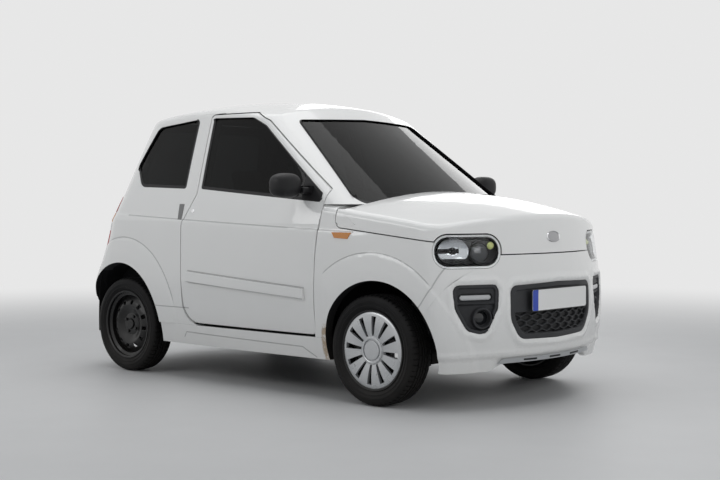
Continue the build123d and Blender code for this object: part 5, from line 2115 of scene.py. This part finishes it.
# ------------------------------------------------------------------ stage and camera
@dataclass
class Studio:
    """The floor, the soft lights, the world and the camera.

    Attributes:
        lamps: each lamp's name, place, target, size, power and whether glossy surfaces show it.
    """

    camera_place: Point = (5.008, -5.249, 0.994)
    camera_yaw: float = 42.64
    camera_pitch: float = -1.90
    lens: float = 65.0
    pale: Colour = (0.80, 0.80, 0.80)
    floor_radius: float = 60.0
    lamps: tuple[tuple[str, Point, Point, tuple[float, float], float, bool], ...] = (
        ("top", (0.0, 0.0, 4.6), (0.0, 0.0, 0.0), (6.0, 4.0), 84.0, True),
        ("near_side", (-1.5, -5.5, 3.6), (0.0, 0.0, 0.6), (5.0, 1.6), 56.0, True),
        ("nose_side", (6.5, -0.5, 3.0), (0.8, 0.0, 0.6), (3.0, 2.0), 70.0, False),
        ("far_side", (-3.5, 6.0, 3.2), (0.0, 0.0, 0.6), (4.0, 2.5), 50.0, True),
    )

    def camera(self) -> None:
        """Place the camera."""
        data = bpy.data.cameras.new("camera")
        data.lens, data.sensor_width, data.sensor_fit = self.lens, 36.0, "HORIZONTAL"
        camera = bpy.data.objects.new("camera", data)
        bpy.context.collection.objects.link(camera)
        yaw, pitch = math.radians(self.camera_yaw), math.radians(self.camera_pitch)
        level = math.cos(pitch)
        forward = Vector((-math.sin(yaw) * level, math.cos(yaw) * level, math.sin(pitch)))
        camera.location = self.camera_place
        camera.rotation_euler = forward.to_track_quat("-Z", "Y").to_euler()
        bpy.context.scene.camera = camera

    def lamp(
        self,
        name: str,
        place: Point,
        target: Point,
        size: tuple[float, float],
        power: float,
        mirrored_in: bool,
    ) -> None:
        """Hang one soft rectangular lamp, which glossy surfaces may show or not."""
        data = bpy.data.lights.new(name, "AREA")
        data.shape, data.size, data.size_y, data.energy = "RECTANGLE", *size, power
        lamp = bpy.data.objects.new(name, data)
        bpy.context.collection.objects.link(lamp)
        lamp.location = place
        lamp.rotation_euler = (Vector(target) - Vector(place)).to_track_quat("-Z", "Y").to_euler()
        lamp.visible_glossy = mirrored_in

    def world(self) -> None:
        """Light the scene softly and show a pale background."""
        world = bpy.data.worlds.new("studio")
        bpy.context.scene.world = world
        world.use_nodes = True
        tree = world.node_tree
        tree.nodes.clear()
        path = tree.nodes.new("ShaderNodeLightPath")
        seen = path.outputs["Is Camera Ray"]
        for ray in ("Is Glossy Ray", "Is Transmission Ray"):
            either = tree.nodes.new("ShaderNodeMath")
            either.operation = "MAXIMUM"
            tree.links.new(seen, either.inputs[0])
            tree.links.new(path.outputs[ray], either.inputs[1])
            seen = either.outputs[0]
        shown = tree.nodes.new("ShaderNodeBackground")
        shown.inputs["Color"].default_value = (*self.pale, 1.0)
        shown.inputs["Strength"].default_value = 1.0
        fill = tree.nodes.new("ShaderNodeBackground")
        fill.inputs["Color"].default_value = (0.9, 0.95, 1.0, 1.0)
        fill.inputs["Strength"].default_value = 0.30
        mix = tree.nodes.new("ShaderNodeMixShader")
        tree.links.new(seen, mix.inputs[0])
        tree.links.new(fill.outputs[0], mix.inputs[1])
        tree.links.new(shown.outputs[0], mix.inputs[2])
        output = tree.nodes.new("ShaderNodeOutputWorld")
        tree.links.new(mix.outputs[0], output.inputs["Surface"])

    def floor(self) -> None:
        """Lay the pale floor, which fades into the background far off."""
        mesh = bmesh.new()
        bmesh.ops.create_circle(mesh, cap_ends=True, segments=96, radius=self.floor_radius)
        data = bpy.data.meshes.new("floor")
        mesh.to_mesh(data)
        mesh.free()
        graph = Graph("pale_floor")
        along, across = graph.part_of_place("X"), graph.part_of_place("Y")
        away = (along * along + across * across) ** 0.5
        speckle = graph.noise(3.0, 4.0)
        values = {
            "Base Color": graph.blend(speckle, (0.60, 0.60, 0.60), (0.65, 0.65, 0.65)),
            "Roughness": 0.55,
        }
        surface = graph.node("ShaderNodeBsdfPrincipled", None, values)
        glow = graph.node("ShaderNodeEmission", None, {"Color": (*self.pale, 1.0), "Strength": 1.0})
        mix = graph.node("ShaderNodeMixShader", None, {0: away.ramp(2.6, 8.0), 1: surface, 2: glow})
        data.materials.append(graph.finish(mix))
        floor = bpy.data.objects.new("floor", data)
        bpy.context.collection.objects.link(floor)
        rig.stage(floor)

    def build(self) -> None:
        """Set up everything round the car."""
        bpy.context.scene.view_settings.view_transform = "Standard"
        self.camera()
        self.world()
        self.floor()
        for lamp in self.lamps:
            self.lamp(*lamp)


def main() -> None:
    """Build the stage, then the car's sub-assemblies in order."""
    logging.basicConfig(level=logging.INFO, format="%(message)s")
    cad_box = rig.bounds()
    Studio().build()
    Shell().build()
    Glazing().build()
    Wheels().build()
    Headlamps().build()
    FogLamps().build()
    Grille().build()
    NoseTrims().build()
    SideTrims().build()
    Tail().build()
    Wipers().build()
    Seats().build()
    Controls().build()
    for node, look in {
        "chassis": Look.UNDER,
        "engine_block": Look.CAST,
        "bulkhead": Look.UNDER,
        "exhaust": Look.STEEL,
        "lower_arms": Look.UNDER,
        "rear_axle": Look.UNDER,
        "knuckle_left": Look.CAST,
        "knuckle_right": Look.CAST,
    }.items():
        dress_node(node, look)
    with open("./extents.json", "w") as sizes:
        json.dump([[list(corner) for corner in cad_box], [list(corner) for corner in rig.bounds()]], sizes)


if __name__ == "__main__":
    main()
